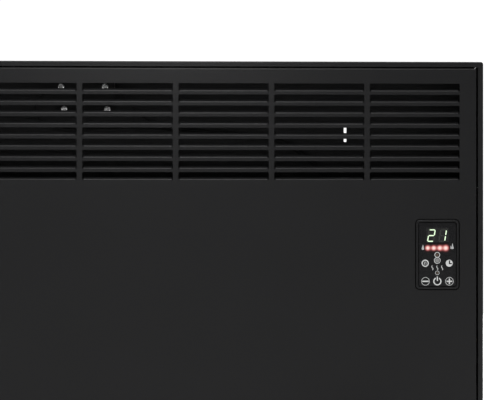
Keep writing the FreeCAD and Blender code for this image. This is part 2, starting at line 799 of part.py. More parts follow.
# ---------------------------------------------------------------- heating element
def element_fins():
    """Extruded aluminium body with six arms round the heater tube."""
    x0, x1 = element_left + fin_clearance, element_right - fin_clearance
    reach = math.hypot(fin_reach_y, fin_reach_z)
    angle = math.degrees(math.atan2(fin_reach_z, fin_reach_y))
    arms = [rod((x0, 0, element_z), (1, 0, 0), fin_boss, x1 - x0)]
    for turn, size in ((angle, reach), (-angle, reach), (0, fin_reach_y)):
        arm = Part.makeBox(x1 - x0, 2 * size, fin_thickness, V(x0, -size, -fin_thickness / 2))
        arm.rotate(V(0, 0, 0), V(1, 0, 0), turn)
        arm.translate(V(0, 0, element_z))
        arms.append(arm)
    bore = rod((x0 - through, 0, element_z), (1, 0, 0), tube_radius + fit, x1 - x0 + 2 * through)
    return fused(arms).cut(bore)


def pin_ends():
    """X of the two tips of the element's pins."""
    reach = tube_overhang + pin_length
    return element_left - reach, element_right + reach


def element_tube():
    x0, x1 = pin_ends()
    sheath = rod((x0 + pin_length, 0, element_z), (1, 0, 0), tube_radius, x1 - x0 - 2 * pin_length)
    pins = rod((x0, 0, element_z), (1, 0, 0), pin_radius, x1 - x0)
    return fused([sheath, pins])


def element_bush(x):
    """Ceramic collar that carries the tube in its bracket; x is the bracket plate's left face."""
    length = sheet + 2 * bush_cheek
    body = ring((x - bush_cheek, 0, element_z), (1, 0, 0), bush_radius, tube_radius + fit, length)
    groove = ring((x - fit, 0, element_z), (1, 0, 0), bush_radius + through, bush_neck, sheet + 2 * fit)
    return body.cut(groove)


def element_bracket(x, side):
    """Angle bracket; side is the way its rear flange points."""
    z0, z1 = element_z - element_bracket_half, element_z + element_bracket_half
    far = x + side * flange_width
    plate = box(x, x + sheet, -fin_reach_y - 4.0, rear_in, z0, z1)
    flange = box(min(x, far), max(x + sheet, far), rear_in - sheet, rear_in, z0, z1)
    seat = rod((x - through, 0, element_z), (1, 0, 0), bush_neck + fit, sheet + 2 * through)
    return fused([plate, flange]).cut([seat] + screw_holes(rear_screw_places(), (0, 1, 0), 3 * sheet))


# ---------------------------------------------------------------- control panel
def control_plate(margin, corner, y0, y1):
    """A rounded plate concentric with the bezel and larger by margin on every side."""
    width, height = bezel_width + 2 * margin, bezel_height + 2 * margin
    return rounded_plate(control_x, control_z, width, height, corner, y0, y1)


def control_bezel():
    y0, y1 = bezel_face - through, bezel_back + through
    rim = control_plate(0, bezel_corner, bezel_face, bezel_back)
    rim = rim.makeFillet(bezel_edge, front_edges(rim, bezel_face))
    lap = bezel_gap + bezel_lap
    flange = control_plate(lap, bezel_corner + lap, panel_back, bezel_back)
    seat = control_plate(-bezel_rim, lens_corner, y0, lens_back)
    window = control_plate(-bezel_rim - lens_ledge, lens_corner - 0.8, y0, y1)
    return fused([rim, flange]).cut(seat).cut(window)


def control_lens():
    return control_plate(-bezel_rim - lens_gap, lens_corner - lens_gap, lens_face, lens_back)


def touch_board():
    return centred_box(control_x, (touch_face + touch_back) / 2, control_z,
                       (2 * touch_half_x, board_thickness, 2 * touch_half_z))


def digit_display():
    z = control_z + bezel_height / 2 - digit_drop
    return centred_box(control_x, touch_face - digit_block[1] / 2, z, digit_block)


def dome_led(x, z, radius):
    height = touch_gap - led_gap
    base = rod((x, touch_face, z), (0, -1, 0), radius, height - radius)
    return fused([base, Part.makeSphere(radius, V(x, touch_face - height + radius, z))])


def level_leds():
    z = control_z + led_rise
    return group([dome_led(control_x + (i - 1.5) * led_pitch, z, led_radius) for i in range(4)])


def indicator_leds():
    return group([dome_led(control_x, control_z + rise, indicator_radius) for rise in ring_rises])


def touch_springs():
    """Springs that carry the touch signal from the board to the back of the lens."""
    coils = 4
    groove_pitch = (touch_gap - 1.2) / coils
    springs = []
    for x, z in key_places():
        sleeve = ring((x, lens_back, z), (0, 1, 0), spring_radius, spring_radius - 0.6, touch_gap)
        grooves = [ring((x, lens_back + 1.2 + turn * groove_pitch, z), (0, 1, 0), spring_radius + through,
                        spring_radius - 0.25, groove_pitch / 2) for turn in range(coils)]
        springs.append(sleeve.cut(grooves))
    return group(springs)


def control_housing():
    """Plastic cup behind the panel that closes the control unit and clamps the board."""
    outer = rounded_plate(control_x, control_z, 2 * housing_half_x, 2 * housing_half_z, housing_wall,
                          bezel_back, housing_back)
    lugs = [rounded_plate(control_x, control_z + side * (stud_rise - 2.0), lug_size, lug_size, 3.0,
                          bezel_back, bezel_back + lug_thickness) for side in (-1, 1)]
    board_room = box(control_x - touch_half_x - board_play, control_x + touch_half_x + board_play,
                     bezel_back - through, touch_back,
                     control_z - touch_half_z - board_play, control_z + touch_half_z + board_play)
    rear_room = box(control_x - touch_half_x + 3.0, control_x + touch_half_x - 3.0,
                    bezel_back, housing_back - housing_floor,
                    control_z - touch_half_z + 3.0, control_z + touch_half_z - 3.0)
    cable_way = centred_box(control_x, housing_back, ribbon_z, (ribbon_width + 4.0, 3 * housing_floor, 8.0))
    way = lug_thickness + 2 * through
    stud_ways = [rod((x, bezel_back - through, z), (0, 1, 0), stud_radius + 0.5, way)
                 for x, z in housing_screw_places()]
    return fused([outer] + lugs).cut([board_room, rear_room, cable_way] + stud_ways)


def panel_studs():
    """Threaded studs welded to the back of the front panel; a collar spaces the control unit off it."""
    studs = []
    for x, z in housing_screw_places():
        stud = rod((x, panel_back, z), (0, 1, 0), stud_radius, stud_length)
        studs.append(fused([stud, rod((x, panel_back, z), (0, 1, 0), 2 * stud_radius, bezel_flange)]))
    return group(studs)


def housing_nuts():
    y = bezel_back + lug_thickness
    bore = stud_radius + fit
    return group([hex_nut((x, y, z), (0, 1, 0), stud_nut, bore) for x, z in housing_screw_places()])


# ---------------------------------------------------------------- power board
def board_hole_places():
    width, height = board_size
    inset = board_hole_inset
    return [(board_x0 + x, board_z0 + z) for x in (inset, width - inset) for z in (inset, height - inset)]


def power_board():
    width, height = board_size
    plate = box(board_x0, board_x0 + width, board_front, board_back, board_z0, board_z0 + height)
    holes = [rod((x, board_front - through, z), (0, 1, 0), spacer_pin + 0.1, board_thickness + 2 * through)
             for x, z in board_hole_places()]
    return plate.cut(holes)


def board_spacers():
    """Moulded pillars: a collar under the board and a snap pin through it."""
    knob_radius, knob_height = spacer_knob
    pillars = []
    for x, z in board_hole_places():
        collar = rod((x, board_back, z), (0, 1, 0), spacer_radius, board_stand_off)
        pin = rod((x, board_front - knob_height, z), (0, 1, 0), spacer_pin, board_thickness + knob_height)
        knob = rod((x, board_front - knob_height, z), (0, 1, 0), knob_radius, knob_height - fit)
        pillars.append(fused([collar, pin, knob]))
    return group(pillars)


def on_board(place, size, gap=0.0):
    """A block of size (x, y, z) that stands on the front of the power board."""
    return centred_box(board_x0 + place[0], board_front - gap - size[1] / 2, board_z0 + place[1], size)


def power_relays():
    blocks = [on_board(place, relay_size) for place in relay_places]
    return group([block.makeFillet(0.8, block.Edges) for block in blocks])


def board_transformer():
    return fused([on_board(transformer_place, transformer_core, transformer_gap),
                  on_board(transformer_place, transformer_coil)])


def board_capacitors():
    """Round smoothing capacitors and one flat suppression capacitor."""
    radius, height = capacitor_size
    cans = [rod((board_x0 + x, board_front, board_z0 + z), (0, -1, 0), radius, height)
            for x, z in capacitor_places]
    return group([on_board(flat_capacitor[:2], flat_capacitor[2:])] + cans)


def terminal_way(i):
    """Middle of terminal number i, across the board."""
    return board_x0 + terminal_place_on_board[0] + (i + 0.5) * terminal_pitch


def terminal_block():
    """Screw terminal along the board's lower edge; the wires enter from below."""
    x0 = board_x0 + terminal_place_on_board[0]
    z0 = board_z0 + terminal_place_on_board[1]
    front = board_front - terminal_depth
    screw_bore, screw_depth = terminal_screw
    body = box(x0, x0 + terminal_ways * terminal_pitch, front, board_front, z0, z0 + terminal_height)
    tools = []
    for i in range(terminal_ways):
        x = terminal_way(i)
        tools.append(rod((x, board_front - terminal_axis, z0 - through), (0, 0, 1), terminal_mouth[0],
                         terminal_mouth[1] + through))
        tools.append(rod((x, front - through, z0 + 8.0), (0, 1, 0), screw_bore, screw_depth + through))
    return body.cut(tools)


def terminal_place(i):
    """Where the end of wire number i rests inside the terminal block."""
    return (terminal_way(i), board_front - terminal_axis, board_z0 + terminal_place_on_board[1] + 6.5)


# ---------------------------------------------------------------- mains rocker
def rocker_housing():
    """Snap-in frame in the casing side, with the rocker's axle and its two blade terminals."""
    thickness = rocker_flange_thickness
    flange = centred_box(half_w + thickness / 2, 0, rocker_z, (thickness,) + rocker_flange)
    outer = [e for e in flange.Edges if abs(e.BoundBox.XMin - half_w - thickness) < 1e-6]
    flange = flange.makeFillet(0.5, outer)
    body = centred_box(half_w - rocker_body_depth / 2, 0, rocker_z, (rocker_body_depth,) + rocker_body)
    well = centred_box(half_w, 0, rocker_z, (2 * rocker_well_depth,) + rocker_well)
    tab_x = half_w - rocker_body_depth - rocker_tab[0] / 2
    tabs = [centred_box(tab_x, 0, rocker_z + rise, rocker_tab) for rise in rocker_tab_rises]
    axle_length = rocker_body[0] - rocker_wall
    axle = rod((half_w - rocker_axle_inset, -axle_length / 2, rocker_z), (0, 1, 0),
               rocker_axle_radius, axle_length)
    return fused([fused([flange, body]).cut(well)] + tabs + [axle])


def mains_rocker():
    """Concave paddle on a cross axle. It rests tipped to one side."""
    x = half_w - rocker_axle_inset
    width = rocker_well[0] - 2 * rocker_clearance
    tip = rocker_well[1] / 2 - rocker_clearance - 0.8
    upper = [(2.2, 0), (2.5, tip / 2), (3.2, tip + 0.2), (-1.2, tip), (-4.6, 3.4)]
    lower = [(a, -b) for a, b in reversed(upper[1:])]
    outline = [V(x + a, -width / 2, rocker_z + b) for a, b in upper + lower]
    paddle = Part.Face(Part.makePolygon(outline + outline[:1])).extrude(V(0, width, 0))
    paddle = paddle.cut(rod((x, -width, rocker_z), (0, 1, 0), rocker_axle_radius + fit, 2 * width))
    paddle.rotate(V(x, 0, rocker_z), V(0, 1, 0), rocker_rest_angle)
    return paddle


# ---------------------------------------------------------------- tip-over switch
def tilt_block(x0, x1, wall):
    """A block as large as the switch between x0 and x1, drawn in by wall."""
    half_y = tilt_case[1] / 2 - wall
    return box(x0, x1, tilt_y - half_y, tilt_y + half_y, tilt_z0 + wall, tilt_z0 + tilt_case[2] - wall)


def tilt_switch_case():
    """Box screwed to the partition, open towards its cover; the pendulum hangs inside."""
    x1 = tilt_x0 + tilt_case[0] - tilt_wall
    ears = [centred_box(x + tilt_ear[0] / 2, y, z, tilt_ear) for x, y, z in tilt_screw_places()]
    hollow = tilt_block(tilt_x0 + tilt_wall, x1 + through, tilt_wall)
    pin_hole = rod((tilt_x0 - through, tilt_y, tilt_pivot_z), (1, 0, 0), tilt_pin_radius, tilt_case[0])
    tools = [hollow, pin_hole] + screw_holes(tilt_screw_places(), (1, 0, 0), 2 * tilt_ear[0])
    return fused([tilt_block(tilt_x0, x1, 0)] + ears).cut(tools)


def tilt_switch_cover():
    """Snap-on cover with a rib that locates it inside the case."""
    x1 = tilt_x0 + tilt_case[0]
    inside = x1 - tilt_wall
    x0, past = inside - 3.0, tilt_wall + 4.0
    rib = tilt_block(inside - 2.0, inside, tilt_wall + fit).cut(tilt_block(x0, inside, 2 * tilt_wall))
    pin_hole = rod((x0, tilt_y, tilt_pivot_z), (1, 0, 0), tilt_pin_radius, past)
    lead_hole = rod((x0, tilt_y, gate_lead_z()), (1, 0, 0), 2 * thin_wire_radius, past)
    return fused([tilt_block(inside, x1, 0), rib]).cut([pin_hole, lead_hole])


def tilt_pin():
    return rod((tilt_x0, tilt_y, tilt_pivot_z), (1, 0, 0), tilt_pin_radius, tilt_case[0])


def tilt_pendulum():
    """Weighted arm. Its shutter leaves the light gate when the heater leans."""
    def hanging(size, upper):
        """A block whose lower end is size[2] below the pin."""
        return box(tilt_x - size[0] / 2, tilt_x + size[0] / 2, tilt_y - size[1] / 2, tilt_y + size[1] / 2,
                   tilt_pivot_z - size[2], tilt_pivot_z - upper)

    hub_radius, hub_length = pendulum_hub
    radius, length, below = pendulum_weight
    hub = rod((tilt_x - hub_length / 2, tilt_y, tilt_pivot_z), (1, 0, 0), hub_radius, hub_length)
    weight = rod((tilt_x - length / 2, tilt_y, tilt_pivot_z - below), (1, 0, 0), radius, length)
    whole = fused([hub, weight, hanging(pendulum_arm, 0), hanging(pendulum_shutter, below + 3.0)])
    bore = rod((tilt_x - hub_length, tilt_y, tilt_pivot_z), (1, 0, 0), tilt_pin_radius + tilt_pin_clearance,
               2 * hub_length)
    return whole.cut(bore)


def tilt_light_gate():
    """Fork sensor on the floor of the tip-over switch."""
    z0 = tilt_z0 + tilt_wall
    width, height = gate_tower
    base = centred_box(tilt_x, tilt_y, z0 + gate_base[2] / 2, gate_base)
    size = (width, gate_base[1], height)
    towers = [centred_box(tilt_x + side * gate_tower_offset, tilt_y, z0 + height / 2, size)
              for side in (-1, 1)]
    return fused([base] + towers)


def gate_lead_z():
    return tilt_z0 + gate_tower[1]


def tilt_screws():
    head, length = tilt_x0 + tilt_ear[0], tilt_ear[0] + thin_sheet + 1.0
    return group([pan_screw((head, y, z), (-1, 0, 0), length) for _, y, z in tilt_screw_places()])


# ---------------------------------------------------------------- cable entry, earth and sensor
def cable_gland():
    """Gland for the mains cord: flange and nose behind the rear wall, thread through it."""
    radius, thickness = gland_flange
    thread = rod((gland_x, rear_in - gland_inner, gland_z), (0, 1, 0), gland_thread, gland_inner + sheet)
    flange = rod((gland_x, rear_y, gland_z), (0, 1, 0), radius, thickness)
    nose = Part.makeCone(radius - 1.0, gland_thread, gland_nose,
                         V(gland_x, rear_y + thickness, gland_z), V(0, 1, 0))
    length = gland_inner + sheet + thickness + gland_nose + 2 * through
    bore = rod((gland_x, rear_in - gland_inner - through, gland_z), (0, 1, 0), gland_bore, length)
    return fused([thread, flange, nose]).cut(bore)


def gland_nut():
    return hex_nut((gland_x, rear_in, gland_z), (0, -1, 0), gland_nut_size, gland_thread + fit)


def earth_place():
    return (half_w, earth_y, lift + earth_rise)


def earth_stud():
    """Stud through the right side, with its head outside."""
    radius, height = earth_head
    head = rod(earth_place(), (1, 0, 0), radius, height)
    return fused([head, rod(earth_place(), (-1, 0, 0), screw_radius, earth_length)])


def earth_nut():
    _, y, z = earth_place()
    return hex_nut((side_in, y, z), (-1, 0, 0), earth_nut_size, screw_radius + fit)


def sensor_clip():
    """Plastic arm on the casing floor that holds the room sensor in the incoming air."""
    x, y, z = sensor_x, sensor_y, sensor_z
    base = box(x - 8.0, x + 8.0, y - 5.0, y + 5.0, floor_in, floor_in + 2.0)
    post = box(x - 2.0, x + 2.0, y - 3.0, y + 3.0, floor_in, z - 2.0)
    eye = rod((x, y - 3.0, z), (0, 1, 0), sensor_radius + 1.5, 6.0)
    return fused([base, post, eye]).cut(rod((x, y - 4.0, z), (0, 1, 0), sensor_radius, 8.0))


def room_sensor():
    """Bead with a round tip, facing the front."""
    tip = (sensor_x, sensor_y - 6.0, sensor_z)
    body = rod(tip, (0, 1, 0), sensor_radius, sensor_length)
    return fused([body, Part.makeSphere(sensor_radius, V(*tip))])


# ---------------------------------------------------------------- feet
def foot_outline(x, end, toe, shoulder, peak, base):
    """Closed Y-Z outline of a foot: flat base, round toes and concave flanks up to a level top."""
    toe_radius = toe - base - 2.0
    flank_y = end - toe_radius
    rise = peak - toe
    flank_radius = ((flank_y - shoulder) ** 2 + rise ** 2) / (2 * rise)
    sweep = math.asin((flank_y - shoulder) / flank_radius)

    def flank(side, share):
        a = sweep * share
        return V(x, side * (flank_y - flank_radius * math.sin(a)), toe + flank_radius * (1 - math.cos(a)))

    def toe_point(side, share):
        a = math.pi / 2 * share
        return V(x, side * (flank_y + toe_radius * math.sin(a)), toe - toe_radius * (1 - math.cos(a)))

    edges = []
    for side in (-1, 1):
        edges.append(Part.Arc(flank(side, 1), flank(side, 0.5), flank(side, 0)).toShape())
        edges.append(Part.Arc(toe_point(side, 0), toe_point(side, 0.5), toe_point(side, 1)).toShape())
        edges.append(Part.LineSegment(toe_point(side, 1), V(x, side * end, base)).toShape())
    edges.append(Part.LineSegment(V(x, -end, base), V(x, end, base)).toShape())
    edges.append(Part.LineSegment(flank(-1, 1), flank(1, 1)).toShape())
    return Part.Face(Part.Wire(Part.__sortEdges__(edges)))


def foot(side):
    """Moulded foot: the casing sits in its saddle, and the underside is hollow and ribbed."""
    x0, x1 = side * foot_x - foot_width / 2, side * foot_x + foot_width / 2
    outline = foot_outline(x0, foot_length / 2, foot_toe, shoulder_y, foot_peak, pad_proud)
    outer = outline.extrude(V(foot_width, 0, 0))
    rims = [e for e in outer.Edges if e.BoundBox.XLength < 1e-6 and e.BoundBox.ZMin > pad_proud]
    saddle_half = rear_y + foot_clearance
    saddle = box(x0 - through, x1 + through, -saddle_half, saddle_half, lift, foot_peak + through)
    hollow_outline = foot_outline(x0 + foot_wall, foot_length / 2 - 2 * (pad_radius + foot_wall + 1.0),
                                  foot_toe - foot_wall, rear_y, lift - foot_floor, pad_proud - through)
    hollow = hollow_outline.extrude(V(foot_width - 2 * foot_wall, 0, 0))
    half_rib = foot_rib / 2
    ribs = [box(x0 + foot_wall, x1 - foot_wall, y - half_rib, y + half_rib, pad_proud, lift - foot_floor)
            for y in (-rear_y, 0, rear_y)]
    body = fused([outer.makeFillet(foot_edge, rims).cut(saddle).cut(hollow)] + ribs)
    seats = [rod((x, y, 0), (0, 0, 1), pad_radius, pad_height) for x, y in pad_places()]
    return body.cut(screw_holes(foot_screw_places(), (0, 0, 1), foot_floor + through) + seats)


def pad_places():
    y = foot_length / 2 - pad_radius - pad_inset
    return [(side * foot_x, end * y) for side in (-1, 1) for end in (-1, 1)]


def foot_pads():
    pads = []
    for x, y in pad_places():
        pad = rod((x, y, 0), (0, 0, 1), pad_radius, pad_height)
        pads.append(pad.makeFillet(pad_edge, [e for e in pad.Edges if e.BoundBox.ZMax < 0.01]))
    return group(pads)


def foot_screws():
    length = foot_floor + sheet + screw_tail
    return group([pan_screw((x, y, z - foot_floor), (0, 0, 1), length) for x, y, z in foot_screw_places()])


# ---------------------------------------------------------------- wiring
def element_leads():
    """Supply to the two ends of the element. The left one runs back along the casing floor."""
    left_pin, right_pin = pin_ends()
    low = floor_in + lead_height
    near, far = terminal_place(0), terminal_place(1)
    y, z = -2.2, element_z - 0.6
    right = [(right_pin, 0, element_z), (partition_x + 12.0, 0, element_z), (near[0], 8.0, near[2] - 36.0),
             (near[0], near[1], near[2] - 30.0), near]
    left = [
        (left_pin, 0, element_z),
        (left_pin - 9.0, 0, element_z),
        (left_pin - 14.0, -2.0, element_z - 16.0),
        (left_pin - 12.0, -6.0, low + 26.0),
        (left_pin + 10.0, lead_y, low),
        (partition_x - 40.0, lead_y, low),
        (partition_x - 14.0, lead_y + 2.0, low + 12.0),
        (partition_x - 12.0, y - 1.0, element_z - 16.0),
        (partition_x - 4.0, y, z),
        (partition_x + 14.0, y, z),
        (far[0], 3.0, far[2] - 38.0),
        (far[0], far[1], far[2] - 26.0),
        far,
    ]
    return group([lead(right), lead(left)])


def lead_clips():
    """Nylon mounts that hold the long element lead above the casing floor."""
    z = floor_in + lead_height
    count = 1 + int((element_right - element_left - clip_inset) / clip_pitch)
    clips = []
    for i in range(count):
        x = element_left + clip_inset + i * clip_pitch
        post = box(x - 4.0, x + 4.0, lead_y - 3.0, lead_y + 3.0, floor_in, z)
        eye = rod((x - 2.5, lead_y, z), (1, 0, 0), 3.0, 5.0)
        clips.append(fused([post, eye]).cut(rod((x - 5.0, lead_y, z), (1, 0, 0), wire_radius + fit, 10.0)))
    return group(clips)


def cutout_leads():
    """Both leads of the overheat cut-out, side by side through the partition's upper grommet."""
    y = rear_in - 5.0
    pass_z = grommet_heights[1]
    leads = []
    for side, way in ((1, 3), (-1, 2)):
        d = side * lead_spacing / 2
        start, end = cutout_terminal(side), terminal_place(way)
        points = [start, (start[0] + side * 20.0, start[1], start[2])]
        if side < 0:
            points += [(-58.0, y - 6.0, start[2] - 16.0), (-52.0, y, start[2] - 40.0),
                       (-22.0, y, start[2] - 46.0)]
        points += [
            (70.0 + d, y, bracket_low_z - 20.0 + d),
            (partition_x - 90.0 + d, y - 2.0, bracket_low_z - 34.0 + d),
            (partition_x - 30.0 + d, 14.0, pass_z + 70.0 + d),
            (partition_x - 14.0 + d, 3.0, pass_z + 14.0 + d),
            (partition_x - 4.0, 0, pass_z + d),
            (partition_x + 14.0, 0, pass_z + d),
            (end[0] - 22.0, 2.0, pass_z - 24.0),
            (end[0], 6.0, end[2] - 22.0),
            (end[0], end[1], end[2] - 24.0),
            end,
        ]
        leads.append(lead(points, thin_wire_radius))
    return group(leads)


def rocker_leads():
    """From the terminal block to the two tabs of the mains rocker."""
    leads = []
    for way, rise in zip((4, 5), rocker_tab_rises):
        start = terminal_place(way)
        x, y, z = half_w - rocker_body_depth - rocker_tab[0], 0, rocker_z + rise
        turn = start[2] - 24.0
        fall = turn - z
        leads.append(lead([start, (start[0], start[1], turn), (start[0] - 3.0, 10.0, turn - 0.35 * fall),
                           (start[0] - 4.0, y, turn - 0.75 * fall), (x - 14.0, y, z), (x, y, z)]))
    return group(leads)


def ribbon_cable():
    """Flat cable from the touch board, out of its housing and up to the power board."""
    start, end = touch_back + socket_depth[0], board_front - socket_depth[1]
    component_front = board_front - transformer_gap - transformer_core[1]
    y = (housing_back + component_front) / 2
    points = [(start, ribbon_z), (y - 4.0, ribbon_z), (y, ribbon_z + 18.0), (y, header_z - 14.0),
              (y + 6.0, header_z), (end, header_z)]
    return ribbon([(control_x, py, pz) for py, pz in points], ribbon_width, ribbon_thickness)


def ribbon_sockets():
    """The sockets on both boards that the flat cable plugs into."""
    back, front = socket_depth
    width = ribbon_width + 4.0
    return group([centred_box(control_x, touch_back + back / 2, ribbon_z, (width, back, socket_height)),
                  centred_box(control_x, board_front - front / 2, header_z, (width, front, socket_height))])


def sensor_socket_place():
    return (board_x0 + 5.0, board_front - socket_depth[1], board_z0 + 30.0)


def sensor_socket():
    x, y, z = sensor_socket_place()
    return box(x - 4.0, x + 4.0, y, board_front, z - 6.0, z + 6.0)


def sensor_leads():
    """From the room sensor and the tip-over switch to their socket on the power board."""
    x, y, z = sensor_socket_place()
    d = lead_spacing / 2
    bead = (sensor_x, sensor_y - 6.0 + sensor_length, sensor_z)
    gate = (tilt_x + gate_base[0] / 2, tilt_y, gate_lead_z())
    from_bead = [bead, (bead[0], bead[1] + 14.0, bead[2]), (x + 3.0, tilt_y + 6.0, gate[2] + 6.0),
                 (x + 3.0, tilt_y + 8.0, gate[2] + 30.0)]
    from_gate = [gate, (gate[0] + 8.0, tilt_y, gate[2]), (x - 3.0, tilt_y + 4.0, gate[2] + 14.0),
                 (x - 3.0, tilt_y + 8.0, gate[2] + 32.0)]
    leads = []
    for points, side in ((from_bead, 1), (from_gate, -1)):
        across = x + side * d
        points += [(across, y - 5.0, z - 30.0), (across, y - 10.0, z - 12.0), (across, y - 10.0, z),
                   (across, y, z)]
        leads.append(lead(points, thin_wire_radius))
    return group(leads)


# ---------------------------------------------------------------- the pieces
NODES = {
    "rear_casing": rear_casing,
    "front_panel": front_panel,
    "panel_spacers": panel_spacers,
    "panel_screws": panel_screws,
    "partition": partition,
    "wire_grommets": wire_grommets,
    "heat_shield": heat_shield,
    "rear_screws": rear_screws,
    "cutout_bracket": cutout_bracket,
    "bracket_screws": bracket_screws,
    "cutout_plate": cutout_plate,
    "overheat_cutout": overheat_cutout,
    "element_fins": element_fins,
    "element_tube": element_tube,
    "element_bush_left": lambda: element_bush(element_left),
    "element_bush_right": lambda: element_bush(element_right),
    "element_bracket_left": lambda: element_bracket(element_left, -1),
    "element_bracket_right": lambda: element_bracket(element_right, 1),
    "control_bezel": control_bezel,
    "control_lens": control_lens,
    "touch_board": touch_board,
    "digit_display": digit_display,
    "level_leds": level_leds,
    "indicator_leds": indicator_leds,
    "touch_springs": touch_springs,
    "control_housing": control_housing,
    "panel_studs": panel_studs,
    "housing_nuts": housing_nuts,
    "power_board": power_board,
    "board_spacers": board_spacers,
    "power_relays": power_relays,
    "board_transformer": board_transformer,
    "board_capacitors": board_capacitors,
    "terminal_block": terminal_block,
    "rocker_housing": rocker_housing,
    "mains_rocker": mains_rocker,
    "tilt_switch_case": tilt_switch_case,
    "tilt_switch_cover": tilt_switch_cover,
    "tilt_pin": tilt_pin,
    "tilt_pendulum": tilt_pendulum,
    "tilt_light_gate": tilt_light_gate,
    "tilt_screws": tilt_screws,
    "cable_gland": cable_gland,
    "gland_nut": gland_nut,
    "earth_stud": earth_stud,
    "earth_nut": earth_nut,
    "sensor_clip": sensor_clip,
    "room_sensor": room_sensor,
    "foot_left": lambda: foot(-1),
    "foot_right": lambda: foot(1),
    "foot_pads": foot_pads,
    "foot_screws": foot_screws,
    "element_leads": element_leads,
    "lead_clips": lead_clips,
    "cutout_leads": cutout_leads,
    "rocker_leads": rocker_leads,
    "ribbon_cable": ribbon_cable,
    "ribbon_sockets": ribbon_sockets,
    "sensor_socket": sensor_socket,
    "sensor_leads": sensor_leads,
}

os.makedirs("parts", exist_ok=True)
for name, make in NODES.items():
    shape = make()
    shape.exportStep(os.path.join("parts", name + ".step"))
    print(f"{name:22s} {len(shape.Solids)} solids, valid {shape.isValid()}, {shape.Volume:.0f} mm3")
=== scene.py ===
# %% [markdown]
# A slim electric panel heater stands on two moulded feet. The sheet metal, screws, switches and wiring
# already have their exact shapes, so this lesson loads them as a fixed frame. What is left for Blender is
# the finish of every surface, the printed and lit marks on the touch control, and the light that shows a
# black object well.

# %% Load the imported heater
import math

import bmesh
import bpy
from mathutils import Matrix, Vector


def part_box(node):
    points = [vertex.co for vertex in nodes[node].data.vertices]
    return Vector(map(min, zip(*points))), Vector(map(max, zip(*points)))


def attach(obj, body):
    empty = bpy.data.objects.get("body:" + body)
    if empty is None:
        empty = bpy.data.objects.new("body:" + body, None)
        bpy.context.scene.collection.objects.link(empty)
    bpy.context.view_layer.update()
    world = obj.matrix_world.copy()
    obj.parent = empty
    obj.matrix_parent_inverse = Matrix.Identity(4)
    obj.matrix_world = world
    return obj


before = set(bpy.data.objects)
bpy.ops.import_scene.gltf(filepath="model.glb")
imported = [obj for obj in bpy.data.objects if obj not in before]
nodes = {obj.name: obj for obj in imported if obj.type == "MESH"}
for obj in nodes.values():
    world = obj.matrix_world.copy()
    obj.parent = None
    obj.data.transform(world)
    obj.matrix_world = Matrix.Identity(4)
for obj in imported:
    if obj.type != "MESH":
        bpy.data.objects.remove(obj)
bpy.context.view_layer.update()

# %% [markdown]
# Painted and moulded surfaces are never perfectly even. A noise pattern breaks up the roughness, and the
# same pattern raises a very low relief, so a highlight has a soft, slightly grainy edge. Object coordinates
# keep the grain at its true size on every piece. Anything that is even all over is typed straight into the
# shader.

# %% A helper for grained finishes
MM = 0.001


def grained(name, colour, roughness, grain=0.9, relief=0.015, spread=0.06, metallic=0.0, gloss=0.5,
            stretch=(1, 1, 1)):
    """A surface with grain and relief in millimetres; spread is how far the roughness wanders."""
    material = bpy.data.materials.new(name)
    material.use_nodes = True
    tree = material.node_tree
    shader = tree.nodes["Principled BSDF"]
    shader.inputs["Base Color"].default_value = (*colour, 1)
    shader.inputs["Metallic"].default_value = metallic
    shader.inputs["Specular IOR Level"].default_value = gloss
    place = tree.nodes.new("ShaderNodeTexCoord")
    scale = tree.nodes.new("ShaderNodeMapping")
    scale.inputs["Scale"].default_value = [s / (grain * MM) for s in stretch]
    noise = tree.nodes.new("ShaderNodeTexNoise")
    noise.inputs["Scale"].default_value = 1.0
    noise.inputs["Detail"].default_value = 3.0
    wander = tree.nodes.new("ShaderNodeMapRange")
    wander.inputs["To Min"].default_value = roughness - spread
    wander.inputs["To Max"].default_value = roughness + spread
    bump = tree.nodes.new("ShaderNodeBump")
    bump.inputs["Strength"].default_value = 0.6
    bump.inputs["Distance"].default_value = relief * MM
    link = tree.links.new
    link(place.outputs["Object"], scale.inputs["Vector"])
    link(scale.outputs["Vector"], noise.inputs["Vector"])
    link(noise.outputs["Fac"], wander.inputs["Value"])
    link(noise.outputs["Fac"], bump.inputs["Height"])
    link(wander.outputs["Result"], shader.inputs["Roughness"])
    link(bump.outputs["Normal"], shader.inputs["Normal"])
    return material


def shader_of(material):
    return material.node_tree.nodes["Principled BSDF"]


def lit(material, colour, strength):
    """Gives a surface an even light of its own."""
    shader_of(material).inputs["Emission Color"].default_value = (*colour, 1)
    shader_of(material).inputs["Emission Strength"].default_value = strength


# %% [markdown]
# The casing and the front panel are steel with a fine satin powder coat. Powder melts into a skin with a
# faint orange-peel texture about a millimetre across, and it is a true black that only looks grey where a
# lamp catches it. The colour also drifts very slightly over a hand's width, so a second, much larger noise
# tints it.

# %% Powder coat
COAT_COLOUR = (0.0035, 0.0035, 0.0037)


def drift(material, colour, width, amount):
    """Lets the base colour wander by amount over patches of that width in millimetres."""
    tree = material.node_tree
    place = tree.nodes["Texture Coordinate"]
    patches = tree.nodes.new("ShaderNodeTexNoise")
    patches.inputs["Scale"].default_value = 1 / (width * MM)
    patches.inputs["Detail"].default_value = 2.0
    tint = tree.nodes.new("ShaderNodeMix")
    tint.data_type = "RGBA"
    tint.inputs["A"].default_value = (*[c * (1 - amount) for c in colour], 1)
    tint.inputs["B"].default_value = (*[c * (1 + amount) for c in colour], 1)
    tree.links.new(place.outputs["Object"], patches.inputs["Vector"])
    tree.links.new(patches.outputs["Fac"], tint.inputs["Factor"])
    tree.links.new(tint.outputs["Result"], shader_of(material).inputs["Base Color"])


powder_coat = grained("powder_coat", COAT_COLOUR, 0.47, grain=1.1, relief=0.02, gloss=0.11)
drift(powder_coat, COAT_COLOUR, 90, 0.12)
print("powder coat ready")

